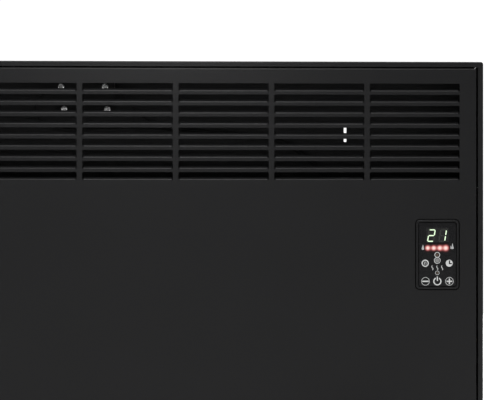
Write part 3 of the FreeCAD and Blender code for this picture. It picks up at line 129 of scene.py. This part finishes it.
# %% [markdown]
# The plastics differ mostly in gloss. The bezel and the switch paddle are smooth, the feet have a fine
# spark texture from their mould, and rubber is the dullest of all. Keeping them as small variations of one
# helper makes them sit together as one family of blacks.

# %% Plastics and rubber
bezel_plastic = grained("bezel_satin", (0.0036, 0.0036, 0.0038), 0.42, grain=0.6, relief=0.006, gloss=0.11)
foot_plastic = grained("foot_spark_texture", (0.009, 0.009, 0.0094), 0.58, grain=0.7, relief=0.05,
                       spread=0.08, gloss=0.25)
frame_plastic = grained("switch_frame_plastic", (0.012, 0.012, 0.012), 0.48, grain=0.5, relief=0.02)
paddle_plastic = grained("switch_paddle_gloss", (0.010, 0.010, 0.010), 0.24, grain=3.0, relief=0.004,
                         spread=0.04)
gland_nylon = grained("gland_nylon", (0.018, 0.018, 0.018), 0.58, grain=0.5, relief=0.03)
pad_rubber = grained("pad_rubber", (0.016, 0.016, 0.016), 0.82, grain=0.5, relief=0.03)
housing_plastic = grained("housing_plastic", (0.020, 0.020, 0.021), 0.60, grain=0.6, relief=0.03)
natural_nylon = grained("natural_nylon", (0.62, 0.60, 0.54), 0.50, grain=0.9, relief=0.01)
silicone = grained("silicone_sleeve", (0.0025, 0.0025, 0.0025), 0.75, grain=0.4, relief=0.02, gloss=0.05)

# %% [markdown]
# Bare metals are coloured by what they reflect, so metallic is full and the base colour is the metal's
# tint. Rolled sheet and extrusions carry fine lines along their length: the noise is squeezed across the
# grain and left long along it. Plated screws are nearly mirror bright with a little wear.

# %% Metals
LONG = (0.04, 1, 1)
zinc_sheet = grained("zinc_plated_sheet", (0.55, 0.56, 0.57), 0.38, grain=2.5, relief=0.008, metallic=1)
bright_sheet = grained("bright_rolled_sheet", (0.68, 0.68, 0.69), 0.26, grain=0.5, relief=0.006, metallic=1,
                       stretch=LONG)
fin_aluminium = grained("extruded_aluminium", (0.60, 0.60, 0.61), 0.34, grain=0.4, relief=0.010, metallic=1,
                        stretch=LONG)
tube_steel = grained("heat_tinted_steel", (0.30, 0.27, 0.23), 0.36, grain=0.6, relief=0.006, metallic=1,
                     stretch=LONG)
nickel = grained("nickel_plated_screw", (0.90, 0.90, 0.90), 0.27, grain=0.8, relief=0.003, metallic=1)
black_zinc = grained("black_zinc_screw", (0.035, 0.035, 0.038), 0.34, grain=0.5, relief=0.006, metallic=0.7)
brass = grained("turned_brass", (0.36, 0.27, 0.11), 0.40, grain=0.5, relief=0.006, metallic=1)
# Near-black painted shade: it darkens the cutout bracket and the panel spacers so they sink into the shade
# inside the casing and in the gap round the panel.
painted_shade_black = grained("painted_shade_black", (0.003, 0.003, 0.003), 0.70, grain=0.9, relief=0.015, gloss=0.08)

# %% [markdown]
# Inside the casing are the parts that only a repairer sees: a circuit board, relays, a taped transformer,
# shrink sleeved capacitors, ceramic bushes and a mica strip. Each gets its own plain finish, because the
# model may be opened or cut away later.

# %% Electrical finishes
board_green = grained("solder_mask_green", (0.012, 0.085, 0.032), 0.30, grain=1.5, relief=0.012)
relay_black = grained("relay_case", (0.016, 0.016, 0.018), 0.40, grain=0.6, relief=0.01)
coil_tape = grained("coil_tape_yellow", (0.52, 0.40, 0.05), 0.42, grain=2.0, relief=0.02)
sleeve_blue = grained("capacitor_sleeve_blue", (0.022, 0.045, 0.16), 0.28, grain=1.2, relief=0.008)
terminal_green = grained("terminal_green", (0.03, 0.17, 0.07), 0.46, grain=0.7, relief=0.02)
ceramic = grained("unglazed_ceramic", (0.76, 0.73, 0.66), 0.66, grain=0.4, relief=0.02)
mica = grained("mica_flakes", (0.34, 0.28, 0.19), 0.34, grain=2.2, relief=0.03, spread=0.14)
phenolic = grained("phenolic_brown", (0.030, 0.020, 0.015), 0.40, grain=0.7, relief=0.01)
epoxy = grained("dipped_epoxy", (0.018, 0.018, 0.018), 0.22, grain=1.5, relief=0.01)
ribbon_grey = grained("ribbon_grey", (0.28, 0.28, 0.29), 0.50, grain=1.2, relief=0.02,
                      stretch=(1, 0.05, 0.05))
red_resin = grained("red_diffused_resin", (0.60, 0.03, 0.02), 0.30, grain=0.8, relief=0.004)
amber_resin = grained("amber_diffused_resin", (0.60, 0.22, 0.02), 0.30, grain=0.8, relief=0.004)
block_face = grained("display_block_face", (0.018, 0.020, 0.020), 0.35, grain=0.7, relief=0.004)
print(len(bpy.data.materials), "finishes mixed")

# %% [markdown]
# The lens is a smoked acrylic window, smooth enough to show a soft reflection. Handling leaves it a little
# uneven, so the grain is wide and very shallow. It is nearly black because the light behind it is off
# except under the digits and the row of lamps.

# %% Smoked lens
LENS_COLOUR = (0.0045, 0.0045, 0.0048)
LENS_GLOSS = 0.13
LENS_GRAIN = {"grain": 6.0, "relief": 0.003, "spread": 0.03, "gloss": LENS_GLOSS}
smoked_lens = grained("smoked_lens", LENS_COLOUR, 0.21, **LENS_GRAIN)

# %% [markdown]
# A table of finish and pieces is easier to check than sixty separate lines. Every piece must appear once,
# so the loop counts what it painted and stops if one was forgotten.

# %% Paint every piece
painted_with = {
    powder_coat: ["rear_casing", "front_panel"],
    bezel_plastic: ["control_bezel"],
    smoked_lens: ["control_lens"],
    foot_plastic: ["foot_left", "foot_right"],
    frame_plastic: ["rocker_housing"],
    paddle_plastic: ["mains_rocker"],
    gland_nylon: ["cable_gland", "gland_nut"],
    pad_rubber: ["foot_pads", "wire_grommets"],
    housing_plastic: ["control_housing", "tilt_switch_case", "tilt_switch_cover", "tilt_light_gate"],
    natural_nylon: ["board_spacers", "lead_clips", "sensor_clip", "ribbon_sockets", "sensor_socket"],
    silicone: ["element_leads", "cutout_leads", "rocker_leads", "sensor_leads"],
    zinc_sheet: ["partition", "element_bracket_left", "element_bracket_right", "panel_studs"],
    bright_sheet: ["heat_shield"],
    fin_aluminium: ["element_fins"],
    tube_steel: ["element_tube"],
    nickel: ["bracket_screws", "housing_nuts", "tilt_screws", "touch_springs", "tilt_pin"],
    black_zinc: ["panel_screws", "rear_screws", "foot_screws"],
    brass: ["tilt_pendulum", "earth_stud", "earth_nut"],
    painted_shade_black: ["cutout_bracket", "panel_spacers"],
    board_green: ["touch_board", "power_board"],
    relay_black: ["power_relays"],
    coil_tape: ["board_transformer"],
    sleeve_blue: ["board_capacitors"],
    terminal_green: ["terminal_block"],
    ceramic: ["element_bush_left", "element_bush_right"],
    mica: ["cutout_plate"],
    phenolic: ["overheat_cutout"],
    epoxy: ["room_sensor"],
    ribbon_grey: ["ribbon_cable"],
    red_resin: ["level_leds"],
    amber_resin: ["indicator_leds"],
    block_face: ["digit_display"],
}
painted = 0
for material, names in painted_with.items():
    for name in names:
        mesh = nodes[name].data
        mesh.materials.clear()
        mesh.materials.append(material)
        painted += 1
assert painted == len(nodes)
print(painted, "pieces painted")

# %% [markdown]
# The marks on the touch control are drawn flat, as if on paper: x to the right and y up, in millimetres
# from the middle of the bezel. One matrix then stands the drawing up against the face of the lens. That
# keeps each mark simple, and all of them land on the same plane.

# %% Where the marks go
bezel_low, bezel_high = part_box("control_bezel")
lens_low, lens_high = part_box("control_lens")
control_middle = (bezel_low + bezel_high) / 2
control_middle.y = lens_low.y
INK = 0.06          # thickness of a mark
SUNK = 0.02         # how deep its back sits in the lens
stand_up = (Matrix.Translation(control_middle) @ Matrix.Rotation(math.pi / 2, 4, "X")
            @ Matrix.Scale(MM, 4) @ Matrix.Translation((0, 0, -SUNK)))
print("control panel at", [round(c, 4) for c in control_middle])


def printed(name, drawing, material, place, body):
    """Moves a finished drawing to its place and hands it to the frame."""
    bmesh.ops.recalc_face_normals(drawing, faces=drawing.faces)
    bmesh.ops.transform(drawing, matrix=place, verts=drawing.verts)
    mesh = bpy.data.meshes.new(name)
    drawing.to_mesh(mesh)
    drawing.free()
    mesh.materials.append(material)
    piece = bpy.data.objects.new(name, mesh)
    bpy.context.scene.collection.objects.link(piece)
    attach(piece, body)
    print(f"{name}: {len(mesh.polygons)} faces")


def on_lens(name, drawing, material):
    printed(name, drawing, material, stand_up, "casing")


# %% [markdown]
# Discs and rings both start from a filled circle. A ring is the same circle with its face inset by the
# width of the line and the middle thrown away. Extruding the flat faces gives the ink its thickness. Part
# of a ring is a small upright face spun through an angle, so it is closed at both ends.

# %% Discs, rings, arcs and bars
def thicken(bm, faces, thickness=INK):
    raised = bmesh.ops.extrude_face_region(bm, geom=faces)["geom"]
    top = [v for v in raised if isinstance(v, bmesh.types.BMVert)]
    bmesh.ops.translate(bm, verts=top, vec=(0, 0, thickness))


def edge_band(bm, faces, line):
    """Keeps only a band of that width along the edge of some flat faces."""
    band = bmesh.ops.inset_region(bm, faces=faces, thickness=line, use_boundary=True,
                                  use_even_offset=True)["faces"]
    bmesh.ops.delete(bm, geom=faces, context="FACES_ONLY")
    return band


def faces_of(made):
    """The faces round some new points, each once and always in the same order."""
    return list(dict.fromkeys(f for v in made["verts"] for f in v.link_faces))


def filled_circle(bm, x, y, radius, segments):
    return faces_of(bmesh.ops.create_circle(bm, cap_ends=True, radius=radius, segments=segments,
                                            matrix=Matrix.Translation((x, y, 0))))


def disc(bm, x, y, radius, segments=40):
    thicken(bm, filled_circle(bm, x, y, radius, segments))


def circle_line(bm, x, y, radius, line, segments=48):
    """A ring; radius is its outer edge."""
    thicken(bm, edge_band(bm, filled_circle(bm, x, y, radius, segments), line))


def arc_line(bm, x, y, radius, line, start, sweep, steps=24):
    """Part of a ring about its middle line, with the angles in degrees anticlockwise from the right."""
    turn = Matrix.Translation((x, y, 0)) @ Matrix.Rotation(math.radians(start), 4, "Z")
    inner, outer = radius - line / 2, radius + line / 2
    corners = [(inner, 0), (outer, 0), (outer, INK), (inner, INK)]
    face = bm.faces.new([bm.verts.new(turn @ Vector((r, 0, z))) for r, z in corners])
    bmesh.ops.spin(bm, geom=[face, *face.edges, *face.verts], cent=(x, y, 0), axis=(0, 0, 1),
                   angle=math.radians(sweep), steps=steps, use_merge=False)


def bar(bm, x, y, length, width, turn=0.0, rounded=0.3):
    """A straight stroke with softened corners."""
    place = Matrix.Translation((x, y, INK / 2)) @ Matrix.Rotation(math.radians(turn), 4, "Z")
    made = bmesh.ops.create_cube(bm, size=1, matrix=place @ Matrix.Diagonal((length, width, INK, 1)))
    edges = dict.fromkeys(e for v in made["verts"] for e in v.link_edges)
    corners = [e for e in edges if abs((e.verts[0].co - e.verts[1].co).z) > INK / 2]
    bmesh.ops.bevel(bm, geom=corners, offset=min(length, width) * rounded, offset_type="OFFSET",
                    affect="EDGES", segments=4, profile=0.5, material=-1)


# %% [markdown]
# The symbols are lit faintly from behind, so they read as an even light grey even in shade. A low emission
# on a grey ink gives that without making them look like lamps. The flames are fainter than the keys, and
# the disc of the mode key is fainter still.

# %% Glowing print
ICON_GREY = (0.62, 0.63, 0.62)
icon_print = grained("icon_print", (0.12, 0.12, 0.12), 0.5, grain=0.5, relief=0.002)
lit(icon_print, ICON_GREY, 0.50)
faint_print = grained("faint_icon_print", (0.10, 0.10, 0.10), 0.5, grain=0.5, relief=0.002)
lit(faint_print, ICON_GREY, 0.34)
dim_print = grained("dim_icon_print", (0.05, 0.05, 0.05), 0.5, grain=0.5, relief=0.002)
lit(dim_print, (0.16, 0.16, 0.155), 0.5)

# %% [markdown]
# Two black outlines set the control off from the panel, and both are painted shade: a thin black band round
# the edge of the lens, where the rim of the bezel throws its shadow, and a black band lying in the gap round
# the bezel, where shade falls. Both are rounded frames, so one helper draws them. It bevels the corners of a
# flat face, insets it by the width of the line and keeps only the band.

# %% Painted shade round the lens and the bezel
PANEL_SHEET = 0.8       # thickness of the front panel
BEZEL_PROUD = 0.8       # height of the bezel's face above the panel
BEZEL_WIDTH, BEZEL_HEIGHT = 47.2, 76.2
GAP_SHADE_REACH = 1.0      # how far the band of painted shade reaches out from the bezel
# Near-black for the timer hands, which are print, and for the two bands of painted shade round the lens and
# the bezel.
black_print_and_painted_shade = grained("black_print_and_painted_shade", (0.0008, 0.0008, 0.0008), 0.8, grain=0.8, relief=0.004, gloss=0.02)


def rounded_frame(width, height, corner, line, thickness):
    """A frame of one line width; width and height are its outer size."""
    bm = bmesh.new()
    bmesh.ops.create_grid(bm, x_segments=1, y_segments=1, size=0.5,
                          matrix=Matrix.Diagonal((width, height, 1, 1)))
    bmesh.ops.bevel(bm, geom=bm.verts[:], offset=corner, offset_type="OFFSET", affect="VERTICES", segments=8,
                    profile=0.5, material=-1)
    thicken(bm, edge_band(bm, bm.faces[:], line), thickness)
    return bm


lens_size = (lens_high - lens_low) / MM
# Painted shade: a thin black band round the edge of the lens, where the rim of the bezel shadows it.
on_lens("lens_edge_painted_shade", rounded_frame(lens_size.x, lens_size.z, 2.4, 0.7, SUNK + 0.02), black_print_and_painted_shade)

# Painted shade: a black band lying in the gap round the bezel, where shade falls.
drawing = rounded_frame(BEZEL_WIDTH + 2 * GAP_SHADE_REACH, BEZEL_HEIGHT + 2 * GAP_SHADE_REACH, 5.2, 0.9, 0.3)
panel_back = (lens_low.y - bezel_low.y) / MM - BEZEL_PROUD - PANEL_SHEET
bmesh.ops.translate(drawing, verts=drawing.verts, vec=(0, 0, panel_back))
on_lens("bezel_gap_painted_shade", drawing, black_print_and_painted_shade)

# %% [markdown]
# The bottom row is the one that is touched most: less, power, more. Less and more are thin rings with heavy
# strokes inside, and power is a heavy open ring with a short stroke standing in its gap.

# %% Less, power and more
KEY_ACROSS = 13.2
LOWER_ROW = -29.5
STROKE_WIDTH = 1.45
POWER_X, POWER_LINE = -0.1, 1.25
drawing = bmesh.new()
for x in (-KEY_ACROSS, KEY_ACROSS):
    circle_line(drawing, x, LOWER_ROW, 4.55, 0.45)
bar(drawing, -KEY_ACROSS, LOWER_ROW, 7.2, STROKE_WIDTH)
on_lens("less_and_rings", drawing, icon_print)

drawing = bmesh.new()
bar(drawing, KEY_ACROSS, LOWER_ROW, 6.4, STROKE_WIDTH)
bar(drawing, KEY_ACROSS, LOWER_ROW + 1.95, 2.45, STROKE_WIDTH, turn=90)
bar(drawing, KEY_ACROSS, LOWER_ROW - 1.95, 2.45, STROKE_WIDTH, turn=90)
on_lens("more_cross", drawing, icon_print)

drawing = bmesh.new()
arc_line(drawing, POWER_X, LOWER_ROW, 3.9, POWER_LINE, 118, 304, steps=40)
bar(drawing, POWER_X, LOWER_ROW + 2.9, 4.9, POWER_LINE, turn=90)
on_lens("power_mark", drawing, icon_print)

# %% [markdown]
# Above them sit the child lock and the timer. The lock is a small arch on two legs inside a heavy ring. The
# timer is a filled disc with two dark hands laid on top of it.

# %% Lock and timer
UPPER_ROW = -9.6
LOCK_X, TIMER_X = -13.5, 13.0
ARCH_RADIUS, ARCH_LINE = 0.95, 0.5
HAND_RISE = 0.04        # the hands lie on top of the disc
drawing = bmesh.new()
circle_line(drawing, LOCK_X, UPPER_ROW, 3.95, 1.15)
arc_line(drawing, LOCK_X, UPPER_ROW + 0.5, ARCH_RADIUS, ARCH_LINE, 0, 180, steps=12)
for side in (-ARCH_RADIUS, ARCH_RADIUS):
    bar(drawing, LOCK_X + side, UPPER_ROW - 0.55, 2.1, ARCH_LINE, turn=90)
on_lens("lock_mark", drawing, icon_print)

drawing = bmesh.new()
disc(drawing, TIMER_X, UPPER_ROW, 3.85)
on_lens("timer_face", drawing, icon_print)
drawing = bmesh.new()
bar(drawing, TIMER_X + 0.3, UPPER_ROW + 1.1, 4.2, 1.4, turn=90)
bar(drawing, TIMER_X + 1.2, UPPER_ROW - 0.4, 3.2, 1.3)
bmesh.ops.translate(drawing, verts=drawing.verts, vec=(0, 0, HAND_RISE))
on_lens("timer_hands", drawing, black_print_and_painted_shade)

# %% [markdown]
# Two small rings in the middle show the heating mode. The upper one frames a lamp that is off, so its
# middle is a dull amber. The lower one is a key with a dim disc inside. Three rising heat waves take the
# place of any name above the power key, with a ring round a second lamp. Each wave is two arcs that curve
# opposite ways.

# %% Mode rings and heat waves
RING_X = -0.2
UPPER_LAMP, MODE_KEY, LOWER_LAMP = -0.3, -6.5, -20.2
drawing = bmesh.new()
circle_line(drawing, RING_X, UPPER_LAMP, 3.05, 0.65)
circle_line(drawing, RING_X, MODE_KEY, 3.6, 0.6)
circle_line(drawing, RING_X, LOWER_LAMP, 2.3, 0.4)
on_lens("mode_rings", drawing, icon_print)

drawing = bmesh.new()
disc(drawing, RING_X, MODE_KEY, 2.4)
on_lens("mode_disc", drawing, dim_print)

amber_off = grained("amber_lamp_off", (0.030, 0.018, 0.010), 0.3, grain=0.8, relief=0.004)
drawing = bmesh.new()
disc(drawing, RING_X, UPPER_LAMP, 1.5, segments=24)
disc(drawing, RING_X, LOWER_LAMP, 1.1, segments=24)
on_lens("indicator_spots", drawing, amber_off)

WAVE_BEND, WAVE_LINE = 1.4, 0.7
drawing = bmesh.new()
for x in (-5.6, -0.2, 5.2):
    arc_line(drawing, x - 0.7, -15.9, WAVE_BEND, WAVE_LINE, -60, 120, steps=10)
    arc_line(drawing, x + 0.7, -13.47, WAVE_BEND, WAVE_LINE, 120, 120, steps=10)
on_lens("heat_waves", drawing, icon_print)

# %% [markdown]
# A flame marks each end of the row of lamps: a small one for low heat and a larger one for high. A flame is
# a circle whose upper half is drawn out to a point, with a slight lean, so it starts as a circle and is
# then pulled into shape.

# %% Flames
def flame(bm, x, y, width, height, lean):
    """A drop of that width and height, middle at x and y, with its tip leaning sideways."""
    made = bmesh.ops.create_circle(bm, cap_ends=True, radius=width / 2, segments=28)
    for v in made["verts"]:
        up = max(0.0, v.co.y) / (width / 2)
        v.co.x *= 1 - 0.45 * up
        v.co.x += lean * up * up
        v.co.y += (height - width) * up * up
    bmesh.ops.translate(bm, verts=made["verts"], vec=(x, y - (height - width) / 2, 0))
    thicken(bm, faces_of(made))


drawing = bmesh.new()
flame(drawing, -16.1, 8.0, 2.7, 5.6, 0.2)
on_lens("low_heat_flame", drawing, faint_print)
drawing = bmesh.new()
flame(drawing, 15.1, 8.0, 1.7, 3.6, -0.4)
flame(drawing, 16.8, 9.2, 2.5, 6.4, -0.3)
on_lens("high_heat_flame", drawing, faint_print)

# %% [markdown]
# The display behind the lens has two seven-segment figures that lean to the right. Each segment is a bar
# with pointed ends, and the whole figure is sheared once at the end, which is how a maker slants them too.

# %% Digit segments
DIGIT_HEIGHT = 12.6
DIGIT_WIDTH = 6.4
STROKE = 1.25
SLANT = math.tan(math.radians(9))
DIGIT_ROW = 20.9


def segment(bm, x, y, length, upright, gap):
    """One bar with pointed ends, made from a hexagon stretched along its length and cut back by gap."""
    turn = Matrix.Rotation(math.pi / 2 if upright else 0, 4, "Z")
    half, wide = length / 2 - gap, STROKE / 2
    corners = [(-half, 0), (-half + wide, -wide), (half - wide, -wide), (half, 0), (half - wide, wide),
               (-half + wide, wide)]
    verts = [bm.verts.new(Matrix.Translation((x, y, 0)) @ turn @ Vector((a, b, 0))) for a, b in corners]
    thicken(bm, [bm.faces.new(verts)])


def digit(x, letters, gap):
    """The segments named by letters: a top, b and c right, d bottom, e and f left, g middle."""
    bm = bmesh.new()
    side, half = DIGIT_WIDTH / 2, DIGIT_HEIGHT / 2
    places = {"a": (0, half, False), "g": (0, 0, False), "d": (0, -half, False),
              "b": (side, half / 2, True), "c": (side, -half / 2, True),
              "f": (-side, half / 2, True), "e": (-side, -half / 2, True)}
    for letter in letters:
        dx, dy, upright = places[letter]
        segment(bm, dx, dy, half if upright else DIGIT_WIDTH, upright, gap)
    for v in bm.verts:
        v.co.x += v.co.y * SLANT
    bmesh.ops.translate(bm, verts=bm.verts, vec=(x, DIGIT_ROW, 0))
    return bm


# %% [markdown]
# Lit segments give off a pale green-white. The strength stays near one, so the colour survives instead of
# burning out to plain white. The unlit segments are just visible as grey ghosts, and the window round them
# is a shade lighter than the smoked lens.

# %% Lit and unlit digits
DIGIT_LIGHT = (0.80, 1.0, 0.68)
lit_segment = grained("lit_segment", (0.05, 0.07, 0.05), 0.5, grain=1.0, relief=0.001)
lit(lit_segment, DIGIT_LIGHT, 0.95)
ghost_segment = grained("unlit_segment", (0.016, 0.017, 0.015), 0.45, grain=1.0, relief=0.001,
                        gloss=LENS_GLOSS)
window_face = grained("display_window", (0.007, 0.007, 0.007), 0.3, grain=1.0, relief=0.002, gloss=LENS_GLOSS)

WINDOW_DEPTH = 0.03     # the window's face lies this much below the segments
drawing = bmesh.new()
bar(drawing, 0, DIGIT_ROW, 25, 17.4, rounded=0.03)
bmesh.ops.translate(drawing, verts=drawing.verts, vec=(0, 0, -WINDOW_DEPTH))
on_lens("display_window", drawing, window_face)
for name, letters, material, x, gap in (("tens_lit", "abged", lit_segment, -6.7, 0.12),
                                             ("tens_unlit", "fc", ghost_segment, -6.7, 0.12),
                                             ("units_lit", "bc", lit_segment, 5.8, 0.45),
                                             ("units_unlit", "adefg", ghost_segment, 5.8, 0.12)):
    on_lens(name, digit(x, letters, gap), material)

# %% [markdown]
# Four red lamps show the heat level. Through smoked acrylic each one is a white-hot spot with a red halo
# that runs into its neighbours. A fine grid carries a number at every corner that says how much light falls
# there, and the finish turns that number into colour, so the halos blend without any picture.

# %% Glow of the level lamps
LAMP_PITCH = 6.65
LAMP_ROW = 7.2
LAMP_MIDDLE = -0.75
LAMP_REACH = (0.98, 0.98, 1.02, 1.14)      # the lamps aren't quite equal
CORE, CORE_WIDTH = 0.62, 1.8
HALO, HALO_WIDTH = 0.50, 3.2
drawing = bmesh.new()
bmesh.ops.create_grid(drawing, x_segments=92, y_segments=34, size=0.5,
                      matrix=Matrix.Translation((LAMP_MIDDLE, LAMP_ROW, 0)) @ Matrix.Diagonal((34, 12, 1, 1)))
thicken(drawing, drawing.faces[:], 0.03)
light = drawing.verts.layers.float.new("light")
for v in drawing.verts:
    v[light] = 0.0
    for i, reach in enumerate(LAMP_REACH):
        lamp_x = LAMP_MIDDLE + (i - 1.5) * LAMP_PITCH
        away = math.hypot(v.co.x - lamp_x, v.co.y - LAMP_ROW) / reach
        v[light] += CORE * math.exp(-(away / CORE_WIDTH) ** 2) + HALO * math.exp(-(away / HALO_WIDTH) ** 2)

# %% [markdown]
# The ramp goes from the lens colour through deep red and pink to white. Only the emission follows it: the
# base colour and gloss are those of the lens, so the edge of the grid can't be seen.

# %% Lamp finish
lamp_glow = grained("lamp_glow", LENS_COLOUR, 0.21, **LENS_GRAIN)
tree = lamp_glow.node_tree
amount = tree.nodes.new("ShaderNodeAttribute")
amount.attribute_name = "light"
ramp = tree.nodes.new("ShaderNodeValToRGB")
stops = [(0.0, (0, 0, 0)), (0.06, (0.004, 0, 0)), (0.16, (0.055, 0.010, 0.010)), (0.34, (0.44, 0.11, 0.105)),
         (0.58, (0.86, 0.40, 0.37)), (1.0, (1.0, 0.80, 0.74))]
ramp.color_ramp.elements[0].position, ramp.color_ramp.elements[0].color = stops[0][0], (*stops[0][1], 1)
ramp.color_ramp.elements[1].position, ramp.color_ramp.elements[1].color = stops[-1][0], (*stops[-1][1], 1)
for position, colour in stops[1:-1]:
    ramp.color_ramp.elements.new(position).color = (*colour, 1)
tree.links.new(amount.outputs["Fac"], ramp.inputs["Fac"])
tree.links.new(ramp.outputs["Color"], shader_of(lamp_glow).inputs["Emission Color"])
shader_of(lamp_glow).inputs["Emission Strength"].default_value = 1.0
on_lens("level_glow", drawing, lamp_glow)

# %% [markdown]
# The paddle of the mains switch carries the two usual marks, a stroke for on and a ring for off. The paddle
# rests tipped and its face is hollow, so each mark is laid square on the last facet at its own end. They
# ride on the rocker and tip with it.

# %% Marks on the mains rocker
paddle = nodes["mains_rocker"].data
paddle_front = [f for f in paddle.polygons if f.normal.x > 0.8]


def on_paddle(name, drawing, end):
    """Lays a drawing on the upper (1) or lower (-1) end of the paddle."""
    last = max(paddle_front, key=lambda f: end * f.center.z)
    facet = [f for f in paddle_front if f.normal.dot(last.normal) > 0.9999]
    middle = sum((f.center * f.area for f in facet), Vector()) / sum(f.area for f in facet)
    across = Vector((0, 1, 0))
    axes = Matrix((across, last.normal.cross(across), last.normal)).transposed().to_4x4()
    place = Matrix.Translation(middle) @ axes @ Matrix.Scale(MM, 4) @ Matrix.Translation((0, 0, -SUNK))
    printed(name, drawing, paddle_white, place, "rocker")


paddle_white = grained("paddle_print", (0.55, 0.55, 0.54), 0.45, grain=0.5, relief=0.003)
drawing = bmesh.new()
bar(drawing, 0, 0, 2.6, 0.55, turn=90)
on_paddle("switch_on_stroke", drawing, 1)
drawing = bmesh.new()
circle_line(drawing, 0, 0, 1.3, 0.42)
on_paddle("switch_off_ring", drawing, -1)

# %% [markdown]
# The floor is a plain pale disc. Towards its rim it glows a little, so it runs into the white studio with
# no edge, while the part round the heater still shows soft shadows. It belongs to the stage and not to the
# heater.

# %% Floor
FLOOR_RADIUS = 3.4
floor_white = grained("studio_floor", (0.92, 0.92, 0.92), 0.7, grain=4.0, relief=0.0)
tree = floor_white.node_tree
reach = tree.nodes.new("ShaderNodeVectorMath")
reach.operation = "LENGTH"
glow = tree.nodes.new("ShaderNodeMapRange")
glow.interpolation_type = "SMOOTHSTEP"
glow.inputs["From Min"].default_value = 0.9
glow.inputs["From Max"].default_value = 2.8
glow.inputs["To Min"].default_value = 0.25
glow.inputs["To Max"].default_value = 1.0
tree.links.new(tree.nodes["Texture Coordinate"].outputs["Object"], reach.inputs[0])
tree.links.new(reach.outputs["Value"], glow.inputs["Value"])
tree.links.new(glow.outputs["Result"], shader_of(floor_white).inputs["Emission Strength"])
shader_of(floor_white).inputs["Emission Color"].default_value = (1, 1, 1, 1)
ground = bmesh.new()
bmesh.ops.create_circle(ground, cap_ends=True, radius=FLOOR_RADIUS, segments=96)
mesh = bpy.data.meshes.new("studio_floor")
ground.to_mesh(mesh)
ground.free()
mesh.materials.append(floor_white)
floor = bpy.data.objects.new("studio_floor", mesh)
bpy.context.scene.collection.objects.link(floor)

# %% [markdown]
# A black heater is drawn by its reflections. The camera side is kept dim, so the flat panel stays dark, and
# a wide lamp overhead draws the bright line along each louvre. A small lamp close above the panel lifts the
# upper left, and one behind lights the floor there. The sky is white to the eye but dim to the surfaces,
# which is the usual way to get a clean background.

# %% Light
def lamp(name, place, target, size, power):
    data = bpy.data.lights.new(name, "AREA")
    data.shape = "DISK"
    data.size = size
    data.energy = power
    obj = bpy.data.objects.new(name, data)
    bpy.context.scene.collection.objects.link(obj)
    obj.location = place
    obj.rotation_euler = (Vector(target) - Vector(place)).to_track_quat("-Z", "Y").to_euler()


lamp("overhead", (0.2, -0.25, 2.6), (0.2, 0.1, 0), 2.2, 150)
lamp("left_softbox", (-1.3, -1.5, 1.7), (-0.1, 0, 0.36), 0.9, 22)
lamp("background", (0.2, 1.9, 2.3), (0.2, 1.9, 0), 2.6, 170)
lamp("right_fill", (2.0, -1.6, 0.9), (0.3, 0, 0.25), 1.2, 8)
lamp("top_left_glow", (0.07, -0.36, 0.66), (0.06, 0, 0.41), 0.26, 2.6)

world = bpy.data.worlds.new("studio")
bpy.context.scene.world = world
world.use_nodes = True
sky = world.node_tree.nodes
dim = sky["Background"]
dim.inputs["Color"].default_value = (1, 1, 1, 1)
dim.inputs["Strength"].default_value = 0.06
white = sky.new("ShaderNodeBackground")
white.inputs["Color"].default_value = (1, 1, 1, 1)
white.inputs["Strength"].default_value = 1.1
seen = sky.new("ShaderNodeLightPath")
either = sky.new("ShaderNodeMixShader")
world.node_tree.links.new(seen.outputs["Is Camera Ray"], either.inputs["Fac"])
world.node_tree.links.new(dim.outputs["Background"], either.inputs[1])
world.node_tree.links.new(white.outputs["Background"], either.inputs[2])
world.node_tree.links.new(either.outputs["Shader"], sky["World Output"].inputs["Surface"])
bpy.context.scene.view_settings.view_transform = "Standard"

# %% [markdown]
# The camera stands two metres in front of the panel with a long lens, level with the middle of the casing,
# and is turned very slightly to the right. It stays upright, so the sides of the casing stay parallel, and
# a small shift frames the right-hand part of the heater.

# %% Camera
panel_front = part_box("front_panel")[0].y
camera_data = bpy.data.cameras.new("viewpoint")
camera_data.sensor_width = 36
camera_data.lens = 131
camera_data.shift_x = -0.1263
camera_data.shift_y = 0.0626
camera_data.clip_end = 100
camera = bpy.data.objects.new("viewpoint", camera_data)
bpy.context.scene.collection.objects.link(camera)
camera.location = (0.1986, panel_front - 2.0, 0.243)
camera.rotation_euler = (math.pi / 2, 0, math.radians(-1.65))
bpy.context.scene.camera = camera
